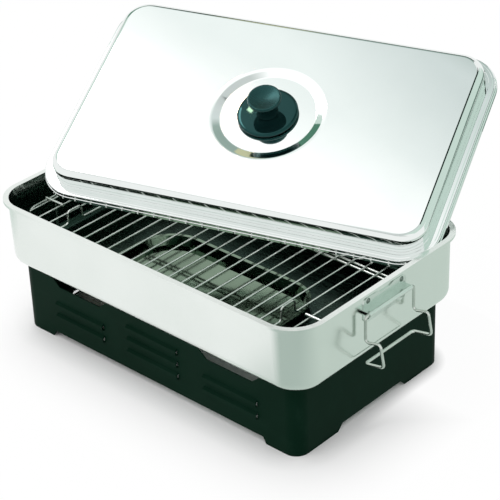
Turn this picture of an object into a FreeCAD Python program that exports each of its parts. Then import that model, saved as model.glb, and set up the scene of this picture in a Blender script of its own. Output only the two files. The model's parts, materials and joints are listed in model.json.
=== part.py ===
import FreeCAD, Part
import math
import os
import Sketcher

# Stovetop smoker box: a steel pan with a wire rack and drip tray, a loose
# lid, two clip-over wire bails and a wind shield that hides two burners.
# Frame: millimetres, +Z up, +X to the right end, -Y to the front.
# The origin lies on the table under the middle of the wind shield.

doc = FreeCAD.newDocument("stovetop_smoker")
sheet = doc.addObject("Spreadsheet::Sheet", "dims")

SIZES = [
    # pan
    ("rim_length", 420.0),
    ("rim_width", 261.0),
    ("rim_lip", 5.0),
    ("rim_hem", 2.6),
    ("rim_corner", 38.0),
    ("pan_depth", 75.0),
    ("pan_flare", 3.0),
    ("pan_edge", 11.5),
    ("pan_sheet", 0.8),
    # wind shield
    ("shield_height", 79.0),
    ("shield_sheet", 1.0),
    ("shield_corner", 15.0),
    ("shield_inset", 3.0),
    ("vent_spacing", 104.0),
    ("vent_mouth", 92.0),
    ("vent_floor", 59.0),
    ("vent_depth", 13.5),
    ("louvre_length", 70.0),
    ("louvre_spacing", 105.0),
    ("louvre_first", 28.4),
    ("louvre_step", 14.3),
    ("louvre_opening", 6.0),
    ("louvre_bulge", 3.0),
    ("notch_mouth", 300.0),
    ("notch_top", 292.0),
    ("notch_height", 7.0),
    ("end_notch_mouth", 104.0),
    ("end_notch_top", 90.0),
    ("strap_width", 24.0),
    ("strap_top", 70.0),
    ("strap_foot", 12.0),
    ("strap_sheet", 0.8),
    # rivets
    ("rivet_shank", 1.6),
    ("rivet_head", 2.9),
    ("rivet_dome", 1.3),
    ("rivet_play", 0.05),
    # handle brackets
    ("bracket_width", 64.0),
    ("bracket_top", 14.0),
    ("bracket_foot", 13.0),
    ("bracket_sheet", 1.0),
    ("bracket_corner", 6.5),
    ("bracket_dip", 2.6),
    ("bracket_dip_width", 26.0),
    ("bracket_rivet_span", 50.0),
    ("bracket_rivet_high", 10.0),
    ("bracket_rivet_low", 7.6),
    ("sleeve_slot", 15.0),
    ("sleeve_slot_height", 2.2),
    ("pivot_drop", 21.5),
    ("pivot_reach", 6.9),
    # bails
    ("bail_wire", 1.5),
    ("bail_play", 0.08),
    ("bail_half", 36.5),
    ("bail_shank", 28.0),
    ("bail_kick", 17.6),
    ("bail_rise", 4.6),
    ("bail_tongue", 24.0),
    ("bail_slant", 4.5),
    ("bail_return", 22.5),
    ("bail_bend", 3.6),
    # rack
    ("rack_height", 52.2),
    ("rack_bar", 1.0),
    ("rack_wire", 1.5),
    ("rack_stay", 1.2),
    ("rack_end_gap", 16.0),
    ("rack_side_gap", 17.5),
    ("rack_corner", 22.0),
    ("rack_stay_place", 20.0),
    ("rack_stay_gap", 6.0),
    ("rack_shift_x", 3.1),
    ("rack_shift_y", 8.4),
    ("rack_weld", 0.3),
    ("hump_rise", 14.0),
    ("hump_width", 19.0),
    ("hump_inset", 23.0),
    ("hump_bend", 4.0),
    ("leg_margin", 15.5),
    ("leg_inset", 34.0),
    ("leg_yoke", 26.0),
    ("stand_gap", 0.1),
    # drip tray
    ("tray_length", 222.0),
    ("tray_width", 130.0),
    ("tray_corner", 42.0),
    ("tray_depth", 10.0),
    ("tray_flare", 4.0),
    ("tray_lip", 3.0),
    ("tray_sheet", 0.8),
    ("tray_shift_x", 6.0),
    ("tray_shift_y", -42.0),
    # lid
    ("lid_play", 3.7),
    ("lid_corner", 40.0),
    ("lid_height", 27.5),
    ("lid_sheet", 0.8),
    ("lid_hem", 3.6),
    ("lid_skirt", 7.8),
    ("lid_bead", 0.5),
    ("lid_ledge", 11.6),
    ("lid_shoulder", 8.0),
    ("lid_yaw", 20.02),
    ("lid_pitch", 1.8),
    ("lid_roll", 23.97),
    ("lid_back", 104.1),
    ("lid_rest_gap", 0.6),
    ("ring_outer", 63.6),
    ("ring_inner", 51.0),
    ("ring_rise", 1.2),
    ("ring_slope", 1.6),
    # knob
    ("washer_radius", 24.0),
    ("washer_thick", 1.5),
    ("disc_radius", 33.0),
    ("disc_thick", 4.5),
    ("knob_foot", 13.0),
    ("knob_waist", 9.5),
    ("knob_cap", 18.2),
    ("knob_height", 27.0),
    ("knob_bore_depth", 16.0),
    ("screw_shank", 2.5),
    ("screw_head", 4.6),
    ("screw_head_height", 2.6),
    ("screw_washer", 8.0),
    ("screw_washer_thick", 1.0),
    ("screw_play", 0.1),
    # burners
    ("burner_length", 105.0),
    ("burner_width", 75.0),
    ("burner_corner", 17.0),
    ("burner_height", 36.0),
    ("burner_sheet", 0.8),
    ("burner_edge", 3.0),
    ("burner_left_x", -97.5),
    ("burner_left_y", -57.5),
    ("burner_right_x", 100.0),
    ("burner_right_y", 12.0),
    ("grille_thick", 1.2),
    ("grille_drop", 1.0),
    ("grille_hole", 2.6),
    ("grille_step", 9.5),
    ("fit_gap", 0.15),
]

DERIVED = [
    ("body_length", "=rim_length-2*rim_lip"),
    ("mouth_width", "=rim_width-2*rim_lip"),
    ("floor_width", "=mouth_width-2*pan_flare"),
    ("mouth_corner", "=rim_corner-rim_lip"),
    ("floor_corner", "=mouth_corner-pan_flare"),
    ("inside_length", "=body_length-2*pan_sheet"),
    ("mouth_inside_width", "=mouth_width-2*pan_sheet"),
    ("floor_inside_width", "=floor_width-2*pan_sheet"),
    ("mouth_inside_corner", "=mouth_corner-pan_sheet"),
    ("floor_inside_corner", "=floor_corner-pan_sheet"),
    ("pan_inside_edge", "=pan_edge-pan_sheet"),
    ("rim_top", "=shield_height+pan_depth"),
    ("pan_floor", "=shield_height+pan_sheet"),
    ("rim_under", "=rim_top-pan_sheet"),
    ("rim_hem_foot", "=rim_top-rim_hem"),
    ("hem_inside_length", "=rim_length-2*pan_sheet"),
    ("hem_inside_width", "=rim_width-2*pan_sheet"),
    ("hem_inside_corner", "=rim_corner-pan_sheet"),
    ("shield_length", "=body_length-2*pan_edge-2*shield_inset"),
    ("shield_width", "=floor_width-2*pan_edge"),
    ("shield_inside_length", "=shield_length-2*shield_sheet"),
    ("shield_inside_width", "=shield_width-2*shield_sheet"),
    ("shield_inside_corner", "=shield_corner-shield_sheet"),
    ("wall_face", "=body_length/2"),
    ("bracket_face", "=wall_face+bracket_sheet"),
    ("pivot_x", "=wall_face+pivot_reach"),
    ("pivot_z", "=rim_top-pivot_drop"),
    ("sleeve_inner", "=bail_wire+bail_play"),
    ("sleeve_outer", "=sleeve_inner+bracket_sheet"),
    ("rivet_ball", "=(rivet_head*rivet_head+rivet_dome*rivet_dome)/(2*rivet_dome)"),
    ("rivet_sink", "=rivet_ball-rivet_dome"),
    ("rack_half_length", "=rim_length/2-rack_end_gap"),
    ("rack_half_width", "=rim_width/2-rack_side_gap"),
    ("leg_place", "=rack_half_length-leg_margin"),
    ("leg_row", "=rack_half_width-leg_inset"),
    ("rack_pitch", "=leg_place/10.5"),
    ("hump_place", "=rack_half_width-hump_inset"),
    ("rack_level", "=pan_floor+stand_gap+rack_height+rack_bar"),
    ("rack_frame_level", "=rack_level-rack_bar-rack_wire+rack_weld"),
    ("rack_stay_level", "=rack_level-rack_bar-rack_stay+rack_weld"),
    ("rack_yoke_level", "=rack_level+rack_bar+rack_wire-rack_weld"),
    ("rack_top", "=rack_level+rack_bar"),
    ("tray_floor_length", "=tray_length-2*tray_lip-2*tray_flare"),
    ("tray_floor_width", "=tray_width-2*tray_lip-2*tray_flare"),
    ("tray_floor_corner", "=tray_corner-tray_lip-tray_flare"),
    ("tray_mouth_length", "=tray_length-2*tray_lip"),
    ("tray_mouth_width", "=tray_width-2*tray_lip"),
    ("tray_mouth_corner", "=tray_corner-tray_lip"),
    ("lid_length", "=rim_length+2*lid_play+2*lid_sheet"),
    ("lid_width", "=rim_width+2*lid_play+2*lid_sheet"),
    ("lid_top_inset", "=lid_ledge+lid_shoulder"),
    ("lid_top_length", "=lid_length-2*lid_top_inset"),
    ("lid_top_width", "=lid_width-2*lid_top_inset"),
    ("lid_top_corner", "=lid_corner-lid_top_inset"),
    ("lid_ceiling", "=lid_height-lid_sheet"),
    ("screw_hole", "=screw_shank+screw_play"),
    ("disc_foot", "=lid_height+washer_thick"),
    ("knob_base", "=disc_foot+disc_thick"),
    ("burner_inside_length", "=burner_length-2*burner_sheet"),
    ("burner_inside_width", "=burner_width-2*burner_sheet"),
    ("burner_inside_corner", "=burner_corner-burner_sheet"),
    ("grille_length", "=burner_inside_length-2*fit_gap"),
    ("grille_width", "=burner_inside_width-2*fit_gap"),
    ("grille_corner", "=burner_inside_corner-fit_gap"),
    ("grille_foot", "=burner_height-grille_drop-grille_thick"),
    ("pad_height", "=grille_foot-burner_sheet-fit_gap"),
    ("pad_length", "=burner_inside_length-2*burner_edge"),
    ("pad_width", "=burner_inside_width-2*burner_edge"),
    ("pad_corner", "=burner_inside_corner-burner_edge"),
]

row = 0
for alias, number in SIZES:
    row += 1
    sheet.set("A%d" % row, alias)
    sheet.set("B%d" % row, "%g" % number)
    sheet.setAlias("B%d" % row, alias)
for alias, formula in DERIVED:
    row += 1
    sheet.set("A%d" % row, alias)
    sheet.set("B%d" % row, formula)
    sheet.setAlias("B%d" % row, alias)
doc.recompute()


def size(alias):
    """Number that the sheet holds under a name."""
    return float(sheet.get(alias))


def bind(thing, prop, formula):
    """Tie a property to the sheet: bare words of the formula are its names."""
    thing.setExpression(prop, formula.replace("$", "dims."))


# ------------------------------------------------------------------ sketches
def new_body(name):
    body = doc.addObject("PartDesign::Body", name)
    body.Label = name
    return body


def sketch_on(body, role, name, offset=None):
    """Sketch on an origin plane of its body, moved along the plane's normal."""
    plane = [f for f in body.Origin.OriginFeatures if f.Role == role][0]
    sketch = body.newObject("Sketcher::SketchObject", name)
    sketch.AttachmentSupport = [(plane, "")]
    sketch.MapMode = "FlatFace"
    if offset is not None:
        bind(sketch, "AttachmentOffset.Base.z", offset)
    return sketch


def rounded_rectangle(sketch, length, width, corner):
    """Rounded rectangle centred on the sketch origin, tied to the sheet."""
    a = size(length) / 2.0
    b = size(width) / 2.0
    r = size(corner)
    up = FreeCAD.Vector(0, 0, 1)
    corners = [
        ((-a + r, -b), (a - r, -b), (a - r, -b + r), -90),
        ((a, -b + r), (a, b - r), (a - r, b - r), 0),
        ((a - r, b), (-a + r, b), (-a + r, b - r), 90),
        ((-a, b - r), (-a, -b + r), (-a + r, -b + r), 180),
    ]
    lines = []
    arcs = []
    for start, end, centre, turn in corners:
        p = FreeCAD.Vector(start[0], start[1], 0)
        q = FreeCAD.Vector(end[0], end[1], 0)
        lines.append(sketch.addGeometry(Part.LineSegment(p, q), False))
        circle = Part.Circle(FreeCAD.Vector(centre[0], centre[1], 0), up, r)
        arc = Part.ArcOfCircle(circle, math.radians(turn), math.radians(turn + 90))
        arcs.append(sketch.addGeometry(arc, False))
    for i in range(4):
        sketch.addConstraint(Sketcher.Constraint("Tangent", lines[i], 2, arcs[i], 1))
        sketch.addConstraint(Sketcher.Constraint("Tangent", arcs[i], 2, lines[(i + 1) % 4], 1))
    sketch.addConstraint(Sketcher.Constraint("Horizontal", lines[2]))
    sketch.addConstraint(Sketcher.Constraint("Vertical", lines[3]))
    sketch.addConstraint(Sketcher.Constraint("Symmetric", lines[0], 1, lines[0], 2, -2))
    sketch.addConstraint(Sketcher.Constraint("Symmetric", lines[1], 1, lines[1], 2, -1))
    for i in range(3):
        sketch.addConstraint(Sketcher.Constraint("Equal", arcs[i], arcs[i + 1]))
    dims = [
        (Sketcher.Constraint("DistanceX", lines[3], 1, lines[1], 1, 2 * a), length),
        (Sketcher.Constraint("DistanceY", lines[0], 1, lines[2], 2, 2 * b), width),
        (Sketcher.Constraint("Radius", arcs[0], r), corner),
    ]
    for constraint, alias in dims:
        index = sketch.addConstraint(constraint)
        bind(sketch, "Constraints[%d]" % index, "$" + alias)


def polygon(sketch, points):
    """Closed outline through corner points, each placed by two sheet formulas.

    A point is (x number, y number, x formula, y formula)."""
    first = None
    count = len(points)
    ids = []
    for i in range(count):
        x0, y0 = points[i][0], points[i][1]
        x1, y1 = points[(i + 1) % count][0], points[(i + 1) % count][1]
        line = Part.LineSegment(FreeCAD.Vector(x0, y0, 0), FreeCAD.Vector(x1, y1, 0))
        ids.append(sketch.addGeometry(line, False))
    for i in range(count):
        sketch.addConstraint(Sketcher.Constraint("Coincident", ids[i], 2, ids[(i + 1) % count], 1))
    for i in range(count):
        place(sketch, ids[i], 1, points[i])
    return ids


def place(sketch, geometry, vertex, point):
    """Fix one vertex of a sketch by its two formulas."""
    for kind, number, formula in (("X", point[0], point[2]), ("Y", point[1], point[3])):
        if abs(number) < 1e-9:
            axis = -2 if kind == "X" else -1
            sketch.addConstraint(Sketcher.Constraint("PointOnObject", geometry, vertex, axis))
            continue
        signed = Sketcher.Constraint("Distance" + kind, -1, 1, geometry, vertex, number)
        index = sketch.addConstraint(signed)
        bind(sketch, "Constraints[%d]" % index, formula)


def at(x_formula, y_formula):
    """Corner point from two formulas in names of the sheet."""
    return (solve(x_formula), solve(y_formula), x_formula, y_formula)


probe = doc.addObject("App::FeaturePython", "probe")
probe.addProperty("App::PropertyFloat", "result")


def solve(formula):
    """Present value of a formula."""
    bind(probe, "result", formula)
    probe.recompute()
    return float(probe.result)


def circle_at(sketch, point, radius):
    """Circle whose centre and radius follow the sheet."""
    centre = FreeCAD.Vector(point[0], point[1], 0)
    ring = Part.Circle(centre, FreeCAD.Vector(0, 0, 1), solve(radius))
    index = sketch.addGeometry(ring, False)
    place(sketch, index, 3, point)
    fixed = sketch.addConstraint(Sketcher.Constraint("Radius", index, solve(radius)))
    bind(sketch, "Constraints[%d]" % fixed, radius)
    return index


# ------------------------------------------------------------------ features
def both_sides(feature):
    """Make a pad or pocket run to both sides of its sketch."""
    if hasattr(feature, "SideType"):
        feature.SideType = "Symmetric"
    else:
        feature.Midplane = True


def pad(body, sketch, length, name, symmetric=False, reverse=False):
    feature = body.newObject("PartDesign::Pad", name)
    feature.Profile = sketch
    bind(feature, "Length", length)
    if symmetric:
        both_sides(feature)
    feature.Reversed = reverse
    return feature


def pocket(body, sketch, name, length=None, symmetric=False, reverse=False):
    feature = body.newObject("PartDesign::Pocket", name)
    feature.Profile = sketch
    if length is None:
        feature.Type = "ThroughAll"
    else:
        bind(feature, "Length", length)
    if symmetric:
        both_sides(feature)
    feature.Reversed = reverse
    return feature


def loft(body, kind, first, second, name):
    feature = body.newObject("PartDesign::" + kind, name)
    feature.Profile = first
    feature.Sections = [second]
    feature.Ruled = True
    return feature


def outline_edges(body, level):
    """Names of the tip's edges that lie wholly at one height."""
    doc.recompute()
    names = []
    for i, edge in enumerate(body.Tip.Shape.Edges):
        box = edge.BoundBox
        if abs(box.ZMin - level) < 1e-4 and abs(box.ZMax - level) < 1e-4:
            names.append("Edge%d" % (i + 1))
    return names


def fillet(body, names, radius, name):
    base = body.Tip
    feature = body.newObject("PartDesign::Fillet", name)
    feature.Base = (base, names)
    bind(feature, "Radius", radius)
    body.Tip = feature
    return feature


def revolve(body, sketch, name, kind="Revolution"):
    """Full turn of a half section about the vertical axis of its sketch."""
    feature = body.newObject("PartDesign::" + kind, name)
    feature.Profile = sketch
    feature.ReferenceAxis = (sketch, ["V_Axis"])
    feature.Angle = 360.0
    return feature


def offset_outline(points, thickness):
    """Open outline moved to its right-hand side by a sheet thickness."""
    count = len(points)
    normals = []
    for i in range(count - 1):
        dx = points[i + 1][0] - points[i][0]
        dy = points[i + 1][1] - points[i][1]
        run = math.hypot(dx, dy)
        normals.append((dy / run, -dx / run))
    moved = []
    for i in range(count):
        before = normals[max(i - 1, 0)]
        after = normals[min(i, count - 2)]
        sx = before[0] + after[0]
        sy = before[1] + after[1]
        scale = 2.0 / (sx * sx + sy * sy)
        moved.append((points[i][0] + sx * scale * thickness, points[i][1] + sy * scale * thickness))
    return moved


def bent_path(points, bend, closed=False):
    """Wire through the points with an arc of one bend radius at each turn."""
    spots = [FreeCAD.Vector(*p) for p in points]
    count = len(spots)
    turns = range(count) if closed else range(1, count - 1)
    cuts = {}
    for i in turns:
        here = spots[i]
        back = (spots[i - 1] - here).normalize()
        ahead = (spots[(i + 1) % count] - here).normalize()
        half = back.getAngle(ahead) / 2.0
        trim = bend / math.tan(half)
        middle = (back + ahead).normalize() * (bend / math.sin(half) - bend)
        cuts[i] = (here + back * trim, here + middle, here + ahead * trim)
    edges = []
    spans = count if closed else count - 1
    for i in range(spans):
        j = (i + 1) % count
        start = cuts[i][2] if i in cuts else spots[i]
        end = cuts[j][0] if j in cuts else spots[j]
        if (end - start).Length > 1e-6:
            edges.append(Part.LineSegment(start, end).toShape())
        if j in cuts:
            edges.append(Part.Arc(*cuts[j]).toShape())
    return Part.Wire(edges)


def bent_outline(sketch, spots):
    """Closed outline in a sketch, with an arc of its own radius at each turn."""
    count = len(spots)
    cuts = []
    for i in range(count):
        here = FreeCAD.Vector(spots[i][0], spots[i][1], 0)
        if spots[i][2] == 0.0:
            cuts.append((here, None, here))
            continue
        back = (FreeCAD.Vector(spots[i - 1][0], spots[i - 1][1], 0) - here).normalize()
        after = spots[(i + 1) % count]
        ahead = (FreeCAD.Vector(after[0], after[1], 0) - here).normalize()
        half = back.getAngle(ahead) / 2.0
        trim = spots[i][2] / math.tan(half)
        middle = (back + ahead).normalize() * (spots[i][2] / math.sin(half) - spots[i][2])
        cuts.append((here + back * trim, here + middle, here + ahead * trim))
    ids = []
    for i in range(count):
        start, end = cuts[i][2], cuts[(i + 1) % count][0]
        if (end - start).Length > 1e-6:
            ids.append(sketch.addGeometry(Part.LineSegment(start, end), False))
        if cuts[(i + 1) % count][1] is not None:
            ids.append(sketch.addGeometry(Part.Arc(*cuts[(i + 1) % count]), False))
    for index in ids:
        sketch.addConstraint(Sketcher.Constraint("Block", index))


def wire_sweep(name, points, bend, radius, closed=False):
    """Round wire swept along a bent path."""
    path = doc.addObject("Part::Feature", name + "_path")
    path.Shape = bent_path(points, bend, closed)
    section = doc.addObject("Part::Circle", name + "_section")
    bind(section, "Radius", radius)
    start = path.Shape.Edges[0]
    along = start.tangentAt(start.FirstParameter)
    turn = FreeCAD.Rotation(FreeCAD.Vector(0, 0, 1), along)
    section.Placement = FreeCAD.Placement(start.valueAt(start.FirstParameter), turn)
    sweep = doc.addObject("Part::Sweep", name)
    sweep.Sections = [section]
    sweep.Spine = (path, ["Edge%d" % (i + 1) for i in range(len(path.Shape.Edges))])
    sweep.Solid = True
    sweep.Frenet = False
    return sweep


def rod(name, radius, length, where, direction):
    """Straight round wire or pin; its start is given by three formulas."""
    piece = doc.addObject("Part::Cylinder", name)
    bind(piece, "Radius", radius)
    bind(piece, "Height", length)
    turn = FreeCAD.Rotation(FreeCAD.Vector(0, 0, 1), FreeCAD.Vector(*direction))
    piece.Placement = FreeCAD.Placement(FreeCAD.Vector(0, 0, 0), turn)
    for axis, formula in zip("xyz", where):
        bind(piece, "Placement.Base." + axis, formula)
    return piece


def dome(name, where, direction):
    """Rivet head: the cap of a ball whose centre is given by three formulas."""
    piece = doc.addObject("Part::Sphere", name)
    bind(piece, "Radius", "$rivet_ball")
    bind(piece, "Angle1", "asin($rivet_sink/$rivet_ball)")
    turn = FreeCAD.Rotation(FreeCAD.Vector(0, 0, 1), FreeCAD.Vector(*direction))
    piece.Placement = FreeCAD.Placement(FreeCAD.Vector(0, 0, 0), turn)
    for axis, formula in zip("xyz", where):
        bind(piece, "Placement.Base." + axis, formula)
    return piece


def fuse(name, pieces):
    joined = doc.addObject("Part::MultiFuse", name)
    joined.Shapes = pieces
    joined.Label = name
    return joined


def rivets(name, side, inner, outer, spots):
    """Row of rivets along X through a wall from inner to outer face.

    side is +1 or -1; a spot is a pair of formulas for y and z."""
    pieces = []
    for i, (y, z) in enumerate(spots):
        out = (side, 0, 0)
        back = (-side, 0, 0)
        near = "%d*(%s)" % (side, inner)
        tag = "%s_%d" % (name, i)
        run = "(%s)-(%s)" % (outer, inner)
        pieces.append(rod(tag + "_shank", "$rivet_shank", run, (near, y, z), out))
        head = "%d*(%s-$rivet_sink)" % (side, outer)
        tail = "%d*(%s+$rivet_sink)" % (side, inner)
        pieces.append(dome(tag + "_head", (head, y, z), out))
        pieces.append(dome(tag + "_tail", (tail, y, z), back))
    return fuse(name, pieces)


def mirrored(source, name):
    """Same piece on the left end, mirrored across the middle plane."""
    copy = doc.addObject("Part::Mirroring", name)
    copy.Source = source
    copy.Normal = FreeCAD.Vector(1, 0, 0)
    copy.Label = name
    return copy


parts = []

# --------------------------------------------------------------- wind shield
shield = new_body("wind_shield")
outline = sketch_on(shield, "XY_Plane", "shield_outline")
rounded_rectangle(outline, "shield_length", "shield_width", "shield_corner")
pad(shield, outline, "$shield_height", "shield_skirt")
inside = sketch_on(shield, "XY_Plane", "shield_inside")
rounded_rectangle(inside, "shield_inside_length", "shield_inside_width", "shield_inside_corner")
pocket(shield, inside, "shield_hollow", "$shield_height", reverse=True)

# lanced louvres: bowed strips, open at their ends, over a slit in the sheet
strip_y = "$shield_width/2"


def louvre_strips(name, offset, rows):
    """Bowed strips of one column, on the front and on the back."""
    sketch = sketch_on(shield, "YZ_Plane", name + "_section", offset)
    half = "$louvre_opening/2"
    for face in (-1, 1):
        for row_index in rows:
            z = "$louvre_first+%d*$louvre_step" % row_index
            skin = "%d*(%s)" % (face, strip_y)
            core = "%d*(%s-$shield_sheet)" % (face, strip_y)
            crest = "%d*(%s+$louvre_bulge)" % (face, strip_y)
            under = "%d*(%s+$louvre_bulge-$shield_sheet)" % (face, strip_y)
            polygon(sketch, [
                at(skin, "%s-%s-1.4*$shield_sheet" % (z, half)),
                at(crest, "%s-%s+0.9" % (z, half)),
                at(crest, "%s+%s-0.9" % (z, half)),
                at(skin, "%s+%s+1.4*$shield_sheet" % (z, half)),
                at(core, "%s+%s+0.6" % (z, half)),
                at(skin, "%s+%s-0.4" % (z, half)),
                at(under, "%s+%s-1.6" % (z, half)),
                at(under, "%s-%s+1.6" % (z, half)),
                at(skin, "%s-%s+0.4" % (z, half)),
                at(core, "%s-%s-0.6" % (z, half)),
            ])
    return pad(shield, sketch, "$louvre_length", name, symmetric=True)


slits = sketch_on(shield, "XZ_Plane", "louvre_slits")
columns = [("left", "-$louvre_spacing", (0, 1)), ("middle", "0", (0, 1, 2)), ("right", "$louvre_spacing", (0, 1))]
for column, centre, rows in columns:
    for row_index in rows:
        z = "$louvre_first+%d*$louvre_step" % row_index
        left = "%s-$louvre_length/2" % centre
        right = "%s+$louvre_length/2" % centre
        low = "%s-$louvre_opening/2" % z
        high = "%s+$louvre_opening/2" % z
        polygon(slits, [at(left, low), at(right, low), at(right, high), at(left, high)])
pocket(shield, slits, "louvre_openings", symmetric=True)
louvre_strips("louvres_left", "-$louvre_spacing", (0, 1))
louvre_strips("louvres_middle", None, (0, 1, 2))
louvre_strips("louvres_right", "$louvre_spacing", (0, 1))

# vents in the top edge and feet left by the notches in the bottom edge
vents = sketch_on(shield, "XZ_Plane", "vent_outlines")
top = "$shield_height"
low = "$shield_height-$vent_depth"
for side in (-1, 1):
    centre = "%d*$vent_spacing" % side
    polygon(vents, [
        at("%s-$vent_floor/2" % centre, low),
        at("%s+$vent_floor/2" % centre, low),
        at("%s+$vent_mouth/2" % centre, top),
        at("%s-$vent_mouth/2" % centre, top),
    ])
polygon(vents, [
    at("-$notch_mouth/2", "0"),
    at("$notch_mouth/2", "0"),
    at("$notch_top/2", "$notch_height"),
    at("-$notch_top/2", "$notch_height"),
])
pocket(shield, vents, "vents_and_front_notches", symmetric=True)
end_notch = sketch_on(shield, "YZ_Plane", "end_notch_outline")
polygon(end_notch, [
    at("-$end_notch_mouth/2", "0"),
    at("$end_notch_mouth/2", "0"),
    at("$end_notch_top/2", "$notch_height"),
    at("-$end_notch_top/2", "$notch_height"),
])
pocket(shield, end_notch, "end_notches", symmetric=True)

# riveted lap seam on the left end
seam_rows = ["$strap_foot+6", "($strap_foot+$strap_top)/2", "$strap_top-6"]
seam_holes = sketch_on(shield, "YZ_Plane", "seam_hole_centres")
for z in seam_rows:
    for side in (-1, 1):
        circle_at(seam_holes, at("%d*$strap_width/4" % side, z), "$rivet_shank+$rivet_play")
pocket(shield, seam_holes, "seam_holes", "$shield_length", reverse=False)
parts.append(shield)

strap = new_body("shield_seam_strap")
strap_face = sketch_on(strap, "YZ_Plane", "strap_outline", "-$shield_inside_length/2")
polygon(strap_face, [
    at("-$strap_width/2", "$strap_foot"),
    at("$strap_width/2", "$strap_foot"),
    at("$strap_width/2", "$strap_top"),
    at("-$strap_width/2", "$strap_top"),
])
pad(strap, strap_face, "$strap_sheet", "strap_plate")
strap_holes = sketch_on(strap, "YZ_Plane", "strap_hole_centres", "-$shield_inside_length/2")
for z in seam_rows:
    for side in (-1, 1):
        circle_at(strap_holes, at("%d*$strap_width/4" % side, z), "$rivet_shank+$rivet_play")
pocket(strap, strap_holes, "strap_holes", "$shield_length", reverse=True)
parts.append(strap)

seam_spots = [("%d*$strap_width/4" % side, z) for z in seam_rows for side in (-1, 1)]
seam_inner = "$shield_inside_length/2-$strap_sheet"
parts.append(rivets("shield_seam_rivets", -1, seam_inner, "$shield_length/2", seam_spots))

# ----------------------------------------------------------------------- pan
pan = new_body("smoker_pan")
outer_floor = sketch_on(pan, "XY_Plane", "pan_floor_outline", "$shield_height")
rounded_rectangle(outer_floor, "body_length", "floor_width", "floor_corner")
outer_mouth = sketch_on(pan, "XY_Plane", "pan_mouth_outline", "$rim_top")
rounded_rectangle(outer_mouth, "body_length", "mouth_width", "mouth_corner")
loft(pan, "AdditiveLoft", outer_floor, outer_mouth, "pan_block")
inner_floor = sketch_on(pan, "XY_Plane", "pan_inside_floor", "$pan_floor")
rounded_rectangle(inner_floor, "inside_length", "floor_inside_width", "floor_inside_corner")
inner_mouth = sketch_on(pan, "XY_Plane", "pan_inside_mouth", "$rim_top")
rounded_rectangle(inner_mouth, "inside_length", "mouth_inside_width", "mouth_inside_corner")
loft(pan, "SubtractiveLoft", inner_floor, inner_mouth, "pan_hollow")
fillet(pan, outline_edges(pan, size("pan_floor")), "$pan_inside_edge", "pan_inside_round")
fillet(pan, outline_edges(pan, size("shield_height")), "$pan_edge", "pan_bottom_round")
lip = sketch_on(pan, "XY_Plane", "lip_outline", "$rim_under")
rounded_rectangle(lip, "rim_length", "rim_width", "rim_corner")
rounded_rectangle(lip, "inside_length", "mouth_inside_width", "mouth_inside_corner")
pad(pan, lip, "$pan_sheet", "lip_flange")
hem = sketch_on(pan, "XY_Plane", "hem_outline", "$rim_hem_foot")
rounded_rectangle(hem, "rim_length", "rim_width", "rim_corner")
rounded_rectangle(hem, "hem_inside_length", "hem_inside_width", "hem_inside_corner")
pad(pan, hem, "$rim_hem", "lip_hem")
bracket_spots = [
    ("%d*$bracket_rivet_span/2" % side, z)
    for side in (-1, 1)
    for z in ("$pivot_z+$bracket_rivet_high", "$pivot_z-$bracket_rivet_low")
]
pan_holes = sketch_on(pan, "YZ_Plane", "pan_rivet_holes")
for y, z in bracket_spots:
    circle_at(pan_holes, at(y, z), "$rivet_shank+$rivet_play")
pocket(pan, pan_holes, "pan_rivet_bores", symmetric=True)
parts.append(pan)

# ----------------------------------------------------------- handle brackets
bracket = new_body("handle_bracket_right")
section = sketch_on(bracket, "XZ_Plane", "bracket_section")


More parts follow.
